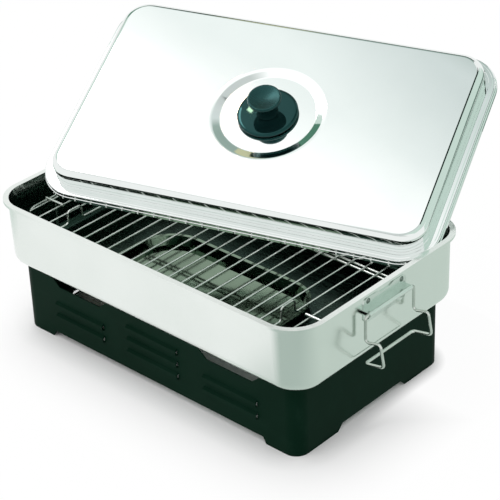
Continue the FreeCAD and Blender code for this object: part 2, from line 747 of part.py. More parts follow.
def bracket_outline(sketch):
    """Strip riveted to the wall and curled round the pivot wire."""
    wall = size("wall_face")
    face = size("bracket_face")
    px = size("pivot_x")
    pz = size("pivot_z")
    inner = size("sleeve_inner")
    outer = size("sleeve_outer")
    high = pz + size("bracket_top")
    foot = pz - size("bracket_foot")
    up = FreeCAD.Vector(0, 0, 1)
    corners = [
        (px, pz - outer), (face, pz - outer), (face, foot), (wall, foot), (wall, pz - inner), (px, pz - inner),
    ]
    tails = [
        (px, pz + inner), (wall, pz + inner), (wall, high), (face, high), (face, pz + outer), (px, pz + outer),
    ]
    ids = []
    for run in (corners, tails):
        for (x0, y0), (x1, y1) in zip(run[:-1], run[1:]):
            segment = Part.LineSegment(FreeCAD.Vector(x0, y0, 0), FreeCAD.Vector(x1, y1, 0))
            ids.append(sketch.addGeometry(segment, False))
    quarter = math.pi / 2
    centre = FreeCAD.Vector(px, pz, 0)
    small = sketch.addGeometry(Part.ArcOfCircle(Part.Circle(centre, up, inner), -quarter, quarter), False)
    large = sketch.addGeometry(Part.ArcOfCircle(Part.Circle(centre, up, outer), -quarter, quarter), False)
    join = Sketcher.Constraint
    for k in (0, 1, 2, 3, 5, 6, 7, 8):
        sketch.addConstraint(join("Coincident", ids[k], 2, ids[k + 1], 1))
    sketch.addConstraint(join("Tangent", ids[4], 2, small, 1))
    sketch.addConstraint(join("Tangent", small, 2, ids[5], 1))
    sketch.addConstraint(join("Tangent", ids[9], 2, large, 2))
    sketch.addConstraint(join("Tangent", large, 1, ids[0], 1))
    for k in (0, 2, 4, 7):
        sketch.addConstraint(join("Horizontal", ids[k]))
    for k in (1, 3, 6, 8):
        sketch.addConstraint(join("Vertical", ids[k]))
    sketch.addConstraint(join("Coincident", small, 3, large, 3))
    fixed = [
        (join("Radius", small, inner), "$sleeve_inner"),
        (join("Radius", large, outer), "$sleeve_outer"),
        (join("DistanceX", -1, 1, small, 3, px), "$pivot_x"),
        (join("DistanceY", -1, 1, small, 3, pz), "$pivot_z"),
        (join("DistanceX", -1, 1, ids[2], 2, wall), "$wall_face"),
        (join("DistanceX", -1, 1, ids[1], 2, face), "$bracket_face"),
        (join("DistanceY", -1, 1, ids[2], 2, foot), "$pivot_z-$bracket_foot"),
        (join("DistanceX", -1, 1, ids[6], 2, wall), "$wall_face"),
        (join("DistanceX", -1, 1, ids[8], 1, face), "$bracket_face"),
        (join("DistanceY", -1, 1, ids[7], 1, high), "$pivot_z+$bracket_top"),
    ]
    for constraint, formula in fixed:
        index = sketch.addConstraint(constraint)
        bind(sketch, "Constraints[%d]" % index, formula)


bracket_outline(section)
pad(bracket, section, "$bracket_width", "bracket_pad", symmetric=True)
doc.recompute()
corner_edges = []
for i, edge in enumerate(bracket.Tip.Shape.Edges):
    box = edge.BoundBox
    ends = (size("pivot_z") + size("bracket_top"), size("pivot_z") - size("bracket_foot"))
    flat = box.ZMax - box.ZMin < 1e-4 and box.YMax - box.YMin < 1e-4
    if flat and min(abs(box.ZMin - ends[0]), abs(box.ZMin - ends[1])) < 1e-4:
        corner_edges.append("Edge%d" % (i + 1))
fillet(bracket, corner_edges, "$bracket_corner", "bracket_corners")
dip = sketch_on(bracket, "YZ_Plane", "bracket_dip_outline")
dip_top = "$pivot_z+$bracket_top"
polygon(dip, [
    at("-$bracket_dip_width/2", dip_top),
    at("-$bracket_dip_width/4", "%s-$bracket_dip" % dip_top),
    at("$bracket_dip_width/4", "%s-$bracket_dip" % dip_top),
    at("$bracket_dip_width/2", dip_top),
])
pocket(bracket, dip, "bracket_dip", reverse=True)
slot = sketch_on(bracket, "YZ_Plane", "sleeve_slot_outline", "$pivot_x")
slot_top = "$pivot_z-0.4"
polygon(slot, [
    at("-$sleeve_slot/2", "%s-$sleeve_slot_height" % slot_top),
    at("$sleeve_slot/2", "%s-$sleeve_slot_height" % slot_top),
    at("$sleeve_slot/2", slot_top),
    at("-$sleeve_slot/2", slot_top),
])
pocket(bracket, slot, "sleeve_slot", reverse=True)
bracket_holes = sketch_on(bracket, "YZ_Plane", "bracket_rivet_holes")
for y, z in bracket_spots:
    circle_at(bracket_holes, at(y, z), "$rivet_shank+$rivet_play")
pocket(bracket, bracket_holes, "bracket_rivet_bores", reverse=True)
parts.append(bracket)
parts.append(mirrored(bracket, "handle_bracket_left"))
rivet_inner = "$wall_face-$pan_sheet"
parts.append(rivets("bracket_rivets_right", 1, rivet_inner, "$bracket_face", bracket_spots))
parts.append(rivets("bracket_rivets_left", -1, rivet_inner, "$bracket_face", bracket_spots))

# --------------------------------------------------------------------- bails
px = size("pivot_x")
pz = size("pivot_z")
half = size("bail_half")
knee = (px, pz - size("bail_shank"))
elbow = (px + size("bail_kick"), knee[1] + size("bail_rise"))
toe = (elbow[0] + size("bail_slant"), elbow[1] - size("bail_tongue"))
grip = (toe[0] - size("bail_return"), toe[1] - size("bail_rise"))
half_loop = [
    (px, 0, pz), (px, -half, pz), (knee[0], -half, knee[1]), (elbow[0], -half, elbow[1]),
    (toe[0], -half, toe[1]), (grip[0], -half, grip[1]), (grip[0], 0, grip[1]),
]
bail_half_loop = wire_sweep("bail_half_loop", half_loop, size("bail_bend"), "$bail_wire")
bail_other_half = doc.addObject("Part::Mirroring", "bail_other_half")
bail_other_half.Source = bail_half_loop
bail_other_half.Normal = FreeCAD.Vector(0, 1, 0)
bail = fuse("bail_right", [bail_half_loop, bail_other_half])
parts.append(bail)
parts.append(mirrored(bail, "bail_left"))

# ---------------------------------------------------------------------- rack
bar_numbers = range(23)
hump_numbers = (3, 20)
first_bar = "-11*$rack_pitch"
rack_pose = ("$rack_shift_x", "$rack_shift_y", "0")


def on_rack(piece):
    for axis, formula in zip("xyz", rack_pose):
        bind(piece, "Placement.Base." + axis, formula)


grid = []
for number in bar_numbers:
    if number in hump_numbers:
        continue
    x = "%s+%d*$rack_pitch" % (first_bar, number)
    into_bend = "max(0; %d*$rack_pitch-$rack_half_length+$rack_corner)" % abs(number - 11)
    reach = "($rack_half_width-$rack_corner+sqrt($rack_corner^2-(%s)^2))" % into_bend
    start = (x, "-" + reach, "$rack_level")
    grid.append(rod("rack_bar_%02d" % number, "$rack_bar", "2*" + reach, start, (0, 1, 0)))
for number in (0, 1):
    y = "$rack_stay_place+%d*$rack_stay_gap" % number
    start = ("-$rack_half_length+$rack_wire", y, "$rack_stay_level")
    span = "2*($rack_half_length-$rack_wire)"
    grid.append(rod("rack_stay_%d" % number, "$rack_stay", span, start, (1, 0, 0)))
rack_grid = fuse("rack_grid", grid)
on_rack(rack_grid)
parts.append(rack_grid)

a = size("rack_half_length")
b = size("rack_half_width")
zf = size("rack_frame_level")
loop = [(0, -b, zf), (a, -b, zf), (a, b, zf), (-a, b, zf), (-a, -b, zf)]
rack_frame = wire_sweep("rack_frame", loop[1:], size("rack_corner"), "$rack_wire", closed=True)
rack_frame.Label = "rack_frame"
on_rack(rack_frame)
parts.append(rack_frame)

humps = []
zb = size("rack_level")
for number in hump_numbers:
    x = size("rack_pitch") * (number - 11)
    y0 = -size("hump_place") - size("hump_width") / 2
    y1 = -size("hump_place") + size("hump_width") / 2
    zt = zb + size("hump_rise")
    route = [(x, -b, zb), (x, y0, zb), (x, y0, zt), (x, y1, zt), (x, y1, zb), (x, b, zb)]
    humps.append(wire_sweep("rack_hump_%d" % number, route, size("hump_bend"), "$rack_bar"))
rack_humps = fuse("rack_hump_bars", humps)
on_rack(rack_humps)
parts.append(rack_humps)

for side_x, end_name in ((-1, "left"), (1, "right")):
    for side_y, row_name in ((-1, "front"), (1, "back")):
        name = "rack_leg_%s_%s" % (row_name, end_name)
        y = "%d*$leg_row" % side_y
        x = "%d*$leg_place" % side_x
        yoke = rod(name + "_yoke", "$rack_wire", "$leg_yoke", (x + "-$leg_yoke/2", y, "$rack_yoke_level"), (1, 0, 0))
        foot = "$pan_floor+$stand_gap"
        leg = rod(name + "_post", "$rack_wire", "$rack_yoke_level-(%s)" % foot, (x, y, foot), (0, 0, 1))
        post = fuse(name, [yoke, leg])
        on_rack(post)
        parts.append(post)

# ----------------------------------------------------------------- drip tray
tray = new_body("drip_tray")
tray_base = sketch_on(tray, "XY_Plane", "tray_floor_outline", "0")
rounded_rectangle(tray_base, "tray_floor_length", "tray_floor_width", "tray_floor_corner")
tray_mouth = sketch_on(tray, "XY_Plane", "tray_mouth_outline", "$tray_depth")
rounded_rectangle(tray_mouth, "tray_mouth_length", "tray_mouth_width", "tray_mouth_corner")
loft(tray, "AdditiveLoft", tray_base, tray_mouth, "tray_block")
hollow_floor = sketch_on(tray, "XY_Plane", "tray_inside_floor", "$tray_sheet")
hollow_mouth = sketch_on(tray, "XY_Plane", "tray_inside_mouth", "$tray_depth")
for name, base in (("floor", "tray_floor"), ("mouth", "tray_mouth")):
    for word in ("length", "width", "corner"):
        alias = "tray_inside_%s_%s" % (name, word)
        count = 1 if word == "corner" else 2
        row += 1
        sheet.set("A%d" % row, alias)
        sheet.set("B%d" % row, "=%s_%s-%d*tray_sheet" % (base, word, count))
        sheet.setAlias("B%d" % row, alias)
doc.recompute()
inner = ["tray_inside_floor_length", "tray_inside_floor_width", "tray_inside_floor_corner"]
rounded_rectangle(hollow_floor, *inner)
inner = ["tray_inside_mouth_length", "tray_inside_mouth_width", "tray_inside_mouth_corner"]
rounded_rectangle(hollow_mouth, *inner)
loft(tray, "SubtractiveLoft", hollow_floor, hollow_mouth, "tray_hollow")
tray_lip = sketch_on(tray, "XY_Plane", "tray_lip_outline", "$tray_depth-$tray_sheet")
rounded_rectangle(tray_lip, "tray_length", "tray_width", "tray_corner")
rounded_rectangle(tray_lip, *inner)
pad(tray, tray_lip, "$tray_sheet", "tray_lip_flange")
bind(tray, "Placement.Base.x", "$tray_shift_x")
bind(tray, "Placement.Base.y", "$tray_shift_y")
bind(tray, "Placement.Base.z", "$pan_floor+$stand_gap")
parts.append(tray)

# ----------------------------------------------------------------------- lid
# The lid lies askew: its front right corner dips into the pan and rests on
# the rack beside the right wall; it is modelled level in a frame of its own.
tilt = FreeCAD.Rotation(size("lid_yaw"), size("lid_pitch"), size("lid_roll"))


def hem_reach(direction):
    """How far the lid's hem reaches from the lid's centre in a direction."""
    u = tilt.inverted().multVec(direction)
    r = size("lid_corner")
    along = (size("lid_length") / 2 - r) * abs(u.x)
    across = (size("lid_width") / 2 - r) * abs(u.y)
    return along + across + r * math.hypot(u.x, u.y) + max(0.0, u.z) * size("lid_hem")


lid_x = size("wall_face") - size("pan_sheet") - size("lid_rest_gap") - hem_reach(FreeCAD.Vector(1, 0, 0))
lid_z = size("rack_top") + size("lid_rest_gap") + hem_reach(FreeCAD.Vector(0, 0, -1))
lid_pose = FreeCAD.Placement(FreeCAD.Vector(lid_x, size("lid_back"), lid_z), tilt)

lid = new_body("lid_shell")
rim_path = sketch_on(lid, "XY_Plane", "lid_rim_path")
rounded_rectangle(rim_path, "lid_length", "lid_width", "lid_corner")
wall = sketch_on(lid, "YZ_Plane", "lid_wall_section")
hem_high = size("lid_hem")
skirt = size("lid_skirt")
bead = size("lid_bead")
ledge = size("lid_ledge")
high = size("lid_height")
inset = size("lid_top_inset")
skin = size("lid_sheet")
lid_edge = [(2 * skin, 0.0, 0.0), (0.0, 0.0, bead), (0.0, hem_high, bead), (skin, hem_high + bead, 0.0)]
lid_skin = [
    (skin, 0.0, 0.0), (skin, skirt, 2 * skin), (ledge - 7.4, skirt, 0.0), (ledge - 6.8, skirt + bead, 0.0),
    (ledge - 3.6, skirt + bead, 0.0), (ledge - 3.0, skirt, 0.0), (ledge, skirt, bead),
    (ledge, high, size("lid_shoulder")), (inset, high, 0.0),
]
inner_spots = offset_outline([spot[:2] for spot in lid_skin], skin)
inner_bends = []
for k, (d, h, bend) in enumerate(lid_skin):
    inner_bends.append(0.0 if bend == 0.0 else bend + skin if k == 6 else max(bend - skin, 0.0))
lid_inner = [(d, h, bend) for (d, h), bend in zip(inner_spots, inner_bends)]
front = -size("lid_width") / 2
lid_outline = lid_edge + lid_skin[1:] + lid_inner[:0:-1]
bent_outline(wall, [(front + d, h, bend) for d, h, bend in lid_outline])
lid_wall = lid.newObject("PartDesign::AdditivePipe", "lid_wall")
lid_wall.Profile = wall
lid_wall.Spine = (rim_path, [])
lid_top = sketch_on(lid, "XY_Plane", "lid_top_outline", "$lid_ceiling")
rounded_rectangle(lid_top, "lid_top_length", "lid_top_width", "lid_top_corner")
circle_at(lid_top, at("0", "0"), "$ring_outer+$ring_slope")
pad(lid, lid_top, "$lid_sheet", "lid_top_sheet")
disc = sketch_on(lid, "XY_Plane", "lid_centre_outline", "$lid_ceiling")
circle_at(disc, at("0", "0"), "$ring_inner-$ring_slope")
circle_at(disc, at("0", "0"), "$screw_hole")
ring = sketch_on(lid, "XZ_Plane", "lid_ring_section")
under = "$lid_height-$lid_sheet"
polygon(ring, [
    at("$ring_inner-$ring_slope", under),
    at("$ring_inner", under + "+$ring_rise"),
    at("$ring_outer", under + "+$ring_rise"),
    at("$ring_outer+$ring_slope", under),
    at("$ring_outer+$ring_slope", "$lid_height"),
    at("$ring_outer", "$lid_height+$ring_rise"),
    at("$ring_inner", "$lid_height+$ring_rise"),
    at("$ring_inner-$ring_slope", "$lid_height"),
])
revolve(lid, ring, "lid_ring_emboss")
pad(lid, disc, "$lid_sheet", "lid_centre_sheet")
parts.append(lid)


def turned(name, points):
    """Body of revolution about the lid's axis."""
    body = new_body(name)
    sketch = sketch_on(body, "XZ_Plane", name + "_section")
    polygon(sketch, points)
    revolve(body, sketch, name + "_turn")
    parts.append(body)
    return body


washer = turned("lid_knob_washer", [
    at("$screw_hole", "$lid_height"),
    at("$washer_radius", "$lid_height"),
    at("$washer_radius", "$lid_height+$washer_thick"),
    at("$screw_hole", "$lid_height+$washer_thick"),
])
plate = turned("lid_knob_disc", [
    at("$screw_hole", "$disc_foot"),
    at("$disc_radius-2", "$disc_foot"),
    at("$disc_radius-0.5", "$disc_foot+0.6"),
    at("$disc_radius", "$disc_foot+2"),
    at("$disc_radius-0.6", "$disc_foot+3.2"),
    at("$disc_radius-2.6", "$disc_foot+$disc_thick-0.5"),
    at("$disc_radius-6", "$knob_base"),
    at("$screw_hole", "$knob_base"),
])
top = "$knob_base+$knob_height"
knob = turned("lid_knob", [
    at("0", "$knob_base+$knob_bore_depth"),
    at("$screw_hole", "$knob_base+$knob_bore_depth"),
    at("$screw_hole", "$knob_base"),
    at("$knob_foot", "$knob_base"),
    at("$knob_foot", "$knob_base+1.5"),
    at("$knob_waist+0.8", "$knob_base+5"),
    at("$knob_waist", "$knob_base+9"),
    at("$knob_waist+1.2", "$knob_base+13"),
    at("$knob_cap-3.4", "$knob_base+17"),
    at("$knob_cap-0.6", "$knob_base+20"),
    at("$knob_cap", "$knob_base+22.6"),
    at("$knob_cap-0.5", "$knob_base+25"),
    at("$knob_cap-2.2", "$knob_base+26.6"),
    at("$knob_cap-4.2", top),
    at("$knob_cap-7", "%s-0.6" % top),
    at("0", "%s-1.6" % top),
])
screw = turned("lid_knob_screw", [
    at("0", "$lid_ceiling-$screw_washer_thick-$screw_head_height"),
    at("$screw_head-0.6", "$lid_ceiling-$screw_washer_thick-$screw_head_height"),
    at("$screw_head", "$lid_ceiling-$screw_washer_thick-$screw_head_height+0.6"),
    at("$screw_head", "$lid_ceiling-$screw_washer_thick"),
    at("$screw_shank", "$lid_ceiling-$screw_washer_thick"),
    at("$screw_shank", "$knob_base+$knob_bore_depth-1"),
    at("0", "$knob_base+$knob_bore_depth-1"),
])
under_washer = turned("lid_screw_washer", [
    at("$screw_hole", "$lid_ceiling-$screw_washer_thick"),
    at("$screw_washer", "$lid_ceiling-$screw_washer_thick"),
    at("$screw_washer", "$lid_ceiling"),
    at("$screw_hole", "$lid_ceiling"),
])
for piece in (lid, washer, plate, knob, screw, under_washer):
    piece.Placement = lid_pose

# ------------------------------------------------------------------- burners
for side in ("left", "right"):
    cup = new_body("burner_%s_cup" % side)
    rim = sketch_on(cup, "XY_Plane", "cup_outline_" + side)
    rounded_rectangle(rim, "burner_length", "burner_width", "burner_corner")
    pad(cup, rim, "$burner_height", "cup_block_" + side)
    well = sketch_on(cup, "XY_Plane", "cup_inside_" + side, "$burner_height")
    rounded_rectangle(well, "burner_inside_length", "burner_inside_width", "burner_inside_corner")
    pocket(cup, well, "cup_hollow_" + side, "$burner_height-$burner_sheet")
    fillet(cup, outline_edges(cup, size("burner_sheet")), "$burner_edge-$burner_sheet", "cup_inside_round_" + side)
    fillet(cup, outline_edges(cup, 0.0), "$burner_edge", "cup_round_" + side)
    wadding = new_body("burner_%s_wadding" % side)
    fill = sketch_on(wadding, "XY_Plane", "wadding_outline_" + side, "$burner_sheet")
    rounded_rectangle(fill, "pad_length", "pad_width", "pad_corner")
    pad(wadding, fill, "$pad_height", "wadding_block_" + side)
    grille = new_body("burner_%s_grille" % side)
    cover = sketch_on(grille, "XY_Plane", "grille_outline_" + side, "$grille_foot")
    rounded_rectangle(cover, "grille_length", "grille_width", "grille_corner")
    pad(grille, cover, "$grille_thick", "grille_plate_" + side)
    holes = sketch_on(grille, "XY_Plane", "grille_holes_" + side, "$grille_foot")
    for i in range(-4, 5):
        for j in range(-2, 3):
            circle_at(holes, at("%d*$grille_step" % i, "%d*$grille_step" % j), "$grille_hole")
    pocket(grille, holes, "grille_perforation_" + side, reverse=True)
    for piece in (cup, wadding, grille):
        bind(piece, "Placement.Base.x", "$burner_%s_x" % side)
        bind(piece, "Placement.Base.y", "$burner_%s_y" % side)
        parts.append(piece)

doc.removeObject("probe")
doc.recompute()

broken = [thing.Name for thing in doc.Objects if "Invalid" in thing.State or "Error" in thing.State]
if broken:
    raise RuntimeError("objects that failed: %s" % ", ".join(broken))
os.makedirs("parts", exist_ok=True)
for piece in parts:
    shape = piece.Shape
    if shape.isNull() or not shape.isValid() or not shape.Solids:
        raise RuntimeError("%s has no valid solid" % piece.Label)
    print("%-24s solids %2d  volume %.1f" % (piece.Label, len(shape.Solids), shape.Volume))
for piece in parts:
    piece.Shape.exportStep("parts/%s.step" % piece.Label)
print(len(parts), "parts")
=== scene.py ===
import json
import math

import bmesh
import bpy
from mathutils import Matrix, Vector


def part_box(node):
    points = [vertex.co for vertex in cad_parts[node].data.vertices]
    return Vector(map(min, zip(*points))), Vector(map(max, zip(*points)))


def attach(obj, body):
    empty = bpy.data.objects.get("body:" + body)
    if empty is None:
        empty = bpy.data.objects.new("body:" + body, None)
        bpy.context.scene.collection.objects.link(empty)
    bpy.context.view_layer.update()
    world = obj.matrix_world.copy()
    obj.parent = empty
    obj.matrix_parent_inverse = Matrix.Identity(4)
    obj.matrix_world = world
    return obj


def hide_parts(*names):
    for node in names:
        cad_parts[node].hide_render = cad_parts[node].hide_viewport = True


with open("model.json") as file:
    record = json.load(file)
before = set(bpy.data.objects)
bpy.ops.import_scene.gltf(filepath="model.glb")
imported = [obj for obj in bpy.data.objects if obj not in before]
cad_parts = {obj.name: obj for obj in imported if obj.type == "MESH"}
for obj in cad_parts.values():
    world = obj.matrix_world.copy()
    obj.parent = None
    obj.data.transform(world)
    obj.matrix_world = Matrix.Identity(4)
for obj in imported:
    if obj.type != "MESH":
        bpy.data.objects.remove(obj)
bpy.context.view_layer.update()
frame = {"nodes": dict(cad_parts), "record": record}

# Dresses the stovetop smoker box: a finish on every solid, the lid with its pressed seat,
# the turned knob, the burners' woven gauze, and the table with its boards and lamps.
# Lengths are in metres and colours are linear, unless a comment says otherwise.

nodes = frame["nodes"]

# ---------------------------------------------------------------- camera
# It stands to the front right of the box and above it, with a slight roll.
AIM = Vector((0.01925, 0.01560, 0.10920))
TURN, RISE, ROLL = math.radians(43.31), math.radians(30.59), math.radians(-2.27)
DISTANCE = 1.83458
SENSOR_MM = 36.0
FOCAL_LENGTH_PER_WIDTH = 1808.90 / 500.0
FAR_CLIP = 50.0


def make_camera():
    flat = math.cos(RISE)
    toward = Vector((math.sin(TURN) * flat, -math.cos(TURN) * flat, math.sin(RISE)))
    right = Vector((math.cos(TURN), math.sin(TURN), 0.0))
    up = toward.cross(right)
    rolled_right = right * math.cos(ROLL) + up * math.sin(ROLL)
    rolled_up = up * math.cos(ROLL) - right * math.sin(ROLL)
    data = bpy.data.cameras.new("view_camera")
    data.sensor_width = SENSOR_MM
    data.lens = SENSOR_MM * FOCAL_LENGTH_PER_WIDTH
    data.clip_end = FAR_CLIP
    camera = bpy.data.objects.new("view_camera", data)
    axes = Matrix((rolled_right, rolled_up, toward)).transposed()
    camera.matrix_world = Matrix.Translation(AIM + toward * DISTANCE) @ axes.to_4x4()
    bpy.context.scene.collection.objects.link(camera)
    bpy.context.scene.camera = camera


# ---------------------------------------------------------------- node helpers
def join(tree, value, socket):
    """Feed a socket from another one, or set it to a plain value."""
    if isinstance(value, bpy.types.NodeSocket):
        tree.links.new(value, socket)
    else:
        socket.default_value = value


def put(tree, kind, inputs, **settings):
    """New node with its settings made and its inputs, given by name or place, filled."""
    node = tree.nodes.new(kind)
    for label, value in settings.items():
        setattr(node, label, value)
    for label, value in inputs.items():
        join(tree, value, node.inputs[label])
    return node


def work(tree, operation, first, second=0.0):
    """Plain arithmetic with one or two values."""
    return put(tree, "ShaderNodeMath", {0: first, 1: second}, operation=operation).outputs[0]


def spread(tree, value, low, high, to_low=0.0, to_high=1.0):
    """Map a range of a value to another, held at its ends."""
    inputs = {
        "Value": value, "From Min": low, "From Max": high, "To Min": to_low, "To Max": to_high}
    return put(tree, "ShaderNodeMapRange", inputs).outputs["Result"]


def noise(tree, vector, scale, detail, rough):
    inputs = {"Vector": vector, "Scale": scale, "Detail": detail, "Roughness": rough}
    return put(tree, "ShaderNodeTexNoise", inputs).outputs["Fac"]


def parts_of(tree, vector):
    return put(tree, "ShaderNodeSeparateXYZ", {0: vector}).outputs


def vector_of(tree, **parts):
    return put(tree, "ShaderNodeCombineXYZ", parts).outputs[0]


def place_on(tree):
    return tree.nodes.new("ShaderNodeTexCoord").outputs["Object"]


def fade(tree, begin, finish):
    """0 at one spot, 1 at another, held beyond them."""
    run = Vector(finish) - Vector(begin)
    inputs = {0: place_on(tree), 1: run / run.length_squared}
    placed = put(tree, "ShaderNodeVectorMath", inputs, operation="DOT_PRODUCT")
    past = run.dot(Vector(begin)) / run.length_squared
    return spread(tree, work(tree, "SUBTRACT", placed.outputs["Value"], past), 0.0, 1.0)


def rgb(red, green, blue):
    return (red, green, blue, 1.0)


def blend_colours(tree, factor, first, second):
    """First colour where the factor is 0, second where it is 1."""
    node = put(tree, "ShaderNodeMix", {"Factor": factor}, data_type="RGBA")
    for label, value in (("A", first), ("B", second)):
        join(tree, value, [s for s in node.inputs if s.name == label and s.type == "RGBA"][0])
    return [s for s in node.outputs if s.type == "RGBA"][0]


def blend_values(tree, factor, first, second):
    """First value where the factor is 0, second where it is 1."""
    gap = work(tree, "SUBTRACT", second, first)
    return work(tree, "ADD", first, work(tree, "MULTIPLY", gap, factor))


def seen_directly(tree):
    """1 for what the camera or a mirror sees, 0 for the light that a matt face gathers."""
    rays = tree.nodes.new("ShaderNodeLightPath").outputs
    return work(tree, "MAXIMUM", rays["Is Camera Ray"], rays["Is Glossy Ray"])


def bare_tree(owner, output):
    """Emptied node tree of a material or a world, and the surface socket of its output."""
    owner.use_nodes = True
    tree = owner.node_tree
    tree.nodes.clear()
    return tree, tree.nodes.new(output).inputs["Surface"]


# ---------------------------------------------------------------- node groups
def new_group(name, takes, gives):
    """Empty shader group; returns the tree, the sockets it takes and those it gives."""
    tree = bpy.data.node_groups.new(name, "ShaderNodeTree")
    for label, value in takes.items():
        kind = "NodeSocketFloat" if isinstance(value, float) else "NodeSocketVector"
        socket = tree.interface.new_socket(label, in_out="INPUT", socket_type=kind)
        if value is not None:
            socket.default_value = value
    for label in gives:
        tree.interface.new_socket(label, in_out="OUTPUT", socket_type="NodeSocketFloat")
    start = tree.nodes.new("NodeGroupInput")
    end = tree.nodes.new("NodeGroupOutput")
    return tree, start.outputs, end.inputs


# Size of the sheet's broad bands beside its fine lines.
BAND_SCALE = 0.12
# Ranges of the noise over which patches, streaks and specks show.
PATCHY, STREAKY, SPECKLED = (0.38, 0.68), (0.52, 0.74), (0.04, 0.10)
# Turn and stretch of the wiped streaks.
WIPE_TURN, WIPE_STRETCH = (0.3, 0.2, 0.7), (1.0, 9.0, 4.0)


def build_rolled_grain():
    """Fine rolling lines of steel sheet, stretched along one direction."""
    takes = {"Vector": None, "Along": (6.0, 900.0, 900.0)}
    tree, taken, given = new_group("rolled_grain", takes, ("Lines", "Bands"))
    whole = {0: taken["Vector"], 1: taken["Along"]}
    fine = put(tree, "ShaderNodeVectorMath", whole, operation="MULTIPLY").outputs[0]
    part = {0: fine, "Scale": BAND_SCALE}
    coarse = put(tree, "ShaderNodeVectorMath", part, operation="SCALE").outputs[0]
    join(tree, noise(tree, fine, 1.0, detail=4.0, rough=0.6), given["Lines"])
    join(tree, noise(tree, coarse, 1.0, detail=2.0, rough=0.5), given["Bands"])
    return tree


def build_handling_marks():
    """Soft clouded patches and a few wiped streaks left by hands and cloths."""
    takes = {"Vector": None, "Scale": 14.0}
    tree, taken, given = new_group("handling_marks", takes, ("Patches", "Streaks"))
    patches = noise(tree, taken["Vector"], taken["Scale"], detail=5.0, rough=0.55)
    wiped = {"Vector": taken["Vector"], "Rotation": WIPE_TURN, "Scale": WIPE_STRETCH}
    wiped_place = put(tree, "ShaderNodeMapping", wiped).outputs[0]
    streaks = noise(tree, wiped_place, taken["Scale"], detail=4.0, rough=0.6)
    join(tree, spread(tree, patches, *PATCHY), given["Patches"])
    join(tree, spread(tree, streaks, *STREAKY), given["Streaks"])
    return tree


def build_fine_pits():
    """Tiny specks and dents of a sprayed or cast skin."""
    takes = {"Vector": None, "Size": 900.0}
    tree, taken, given = new_group("fine_pits", takes, ("Relief", "Specks"))
    cells = put(tree, "ShaderNodeTexVoronoi", {"Vector": taken["Vector"], "Scale": taken["Size"]})
    bumps = noise(tree, taken["Vector"], taken["Size"], detail=2.0, rough=0.5)
    specks = spread(tree, cells.outputs["Distance"], *SPECKLED, to_low=1.0, to_high=0.0)
    join(tree, bumps, given["Relief"])
    join(tree, specks, given["Specks"])
    return tree


# Heights on the pan's wall between which the painted shade inside the pan thins out under the rim.
PAINTED_SHADE_ENDS = (0.1440, 0.1515)
# How far a face turns to the middle, or upwards, before it counts as an inner one.
TURNS_IN, TURNS_UP = (-0.012, 0.0), (0.2, 0.5)


def build_inward_faces():
    """Mask of the faces of a hollow vessel that look towards its middle or upwards."""
    tree, taken, given = new_group("inward_faces", {"Vector": None, "Facing": None}, ("Mask",))
    place = parts_of(tree, taken["Vector"])
    facing = parts_of(tree, taken["Facing"])
    along = work(tree, "MULTIPLY", place["X"], facing["X"])
    across = work(tree, "MULTIPLY", place["Y"], facing["Y"])
    outwards = work(tree, "ADD", along, across)
    inwards = spread(tree, outwards, *TURNS_IN, to_low=1.0, to_high=0.0)
    upwards = spread(tree, facing["Z"], *TURNS_UP)
    below_rim = spread(tree, place["Z"], *PAINTED_SHADE_ENDS, to_low=1.0, to_high=0.0)
    mask = work(tree, "MULTIPLY", work(tree, "MAXIMUM", inwards, upwards), below_rim)
    join(tree, mask, given["Mask"])
    return tree


GRAIN = build_rolled_grain()
MARKS = build_handling_marks()
PITS = build_fine_pits()
INWARD = build_inward_faces()


def use_group(tree, group, **inputs):
    """A group's outputs in another tree; its own place is the object's, unless given."""
    node = tree.nodes.new("ShaderNodeGroup")
    node.node_tree = group
    for label, value in ({"Vector": place_on(tree)} | inputs).items():
        join(tree, value, node.inputs[label])
    return node.outputs


# ---------------------------------------------------------------- finishes
# Two tones, roughness range, stretch of the grain, its depth, and scale of the marks.
STEELS = {
    "satin_steel": (
        (0.815, 0.860, 0.828), (0.775, 0.825, 0.790), (0.13, 0.24), (5.0, 5.0, 700.0), 0.05, 9.0),
    "polished_steel": (
        (0.850, 0.885, 0.872), (0.825, 0.862, 0.848), (0.030, 0.075), (4.0, 600.0, 600.0),
        0.01, 14.0),
    "bright_wire": (
        (0.72, 0.76, 0.72), (0.52, 0.56, 0.52), (0.14, 0.30), (300.0, 300.0, 300.0), 0.04, 40.0),
    "bracket_steel": (
        (0.74, 0.80, 0.765), (0.66, 0.72, 0.685), (0.16, 0.28), (700.0, 8.0, 700.0), 0.05, 30.0),
    "rivet_steel": (
        (0.20, 0.25, 0.22), (0.10, 0.14, 0.12), (0.22, 0.40), (400.0, 400.0, 400.0), 0.05, 60.0),
    "tray_steel": (
        (0.180, 0.255, 0.185), (0.150, 0.215, 0.155), (0.045, 0.11), (5.0, 500.0, 500.0),
        0.05, 18.0),
    "washer_steel": (
        (0.62, 0.66, 0.64), (0.52, 0.56, 0.54), (0.16, 0.28), (500.0, 500.0, 500.0), 0.04, 30.0),
    "burner_steel": (
        (0.30, 0.33, 0.30), (0.18, 0.20, 0.18), (0.24, 0.44), (5.0, 5.0, 500.0), 0.06, 24.0),
    "burner_gauze": (
        (0.74, 0.79, 0.76), (0.52, 0.57, 0.54), (0.30, 0.55), (500.0, 500.0, 500.0), 0.08, 50.0),
}
# How much wiped streaks, clouded patches and rolled bands each dull a steel.
WIPED, CLOUDED, BANDED = 0.35, 0.40, 0.35
GRAIN_HEIGHT = 0.0001
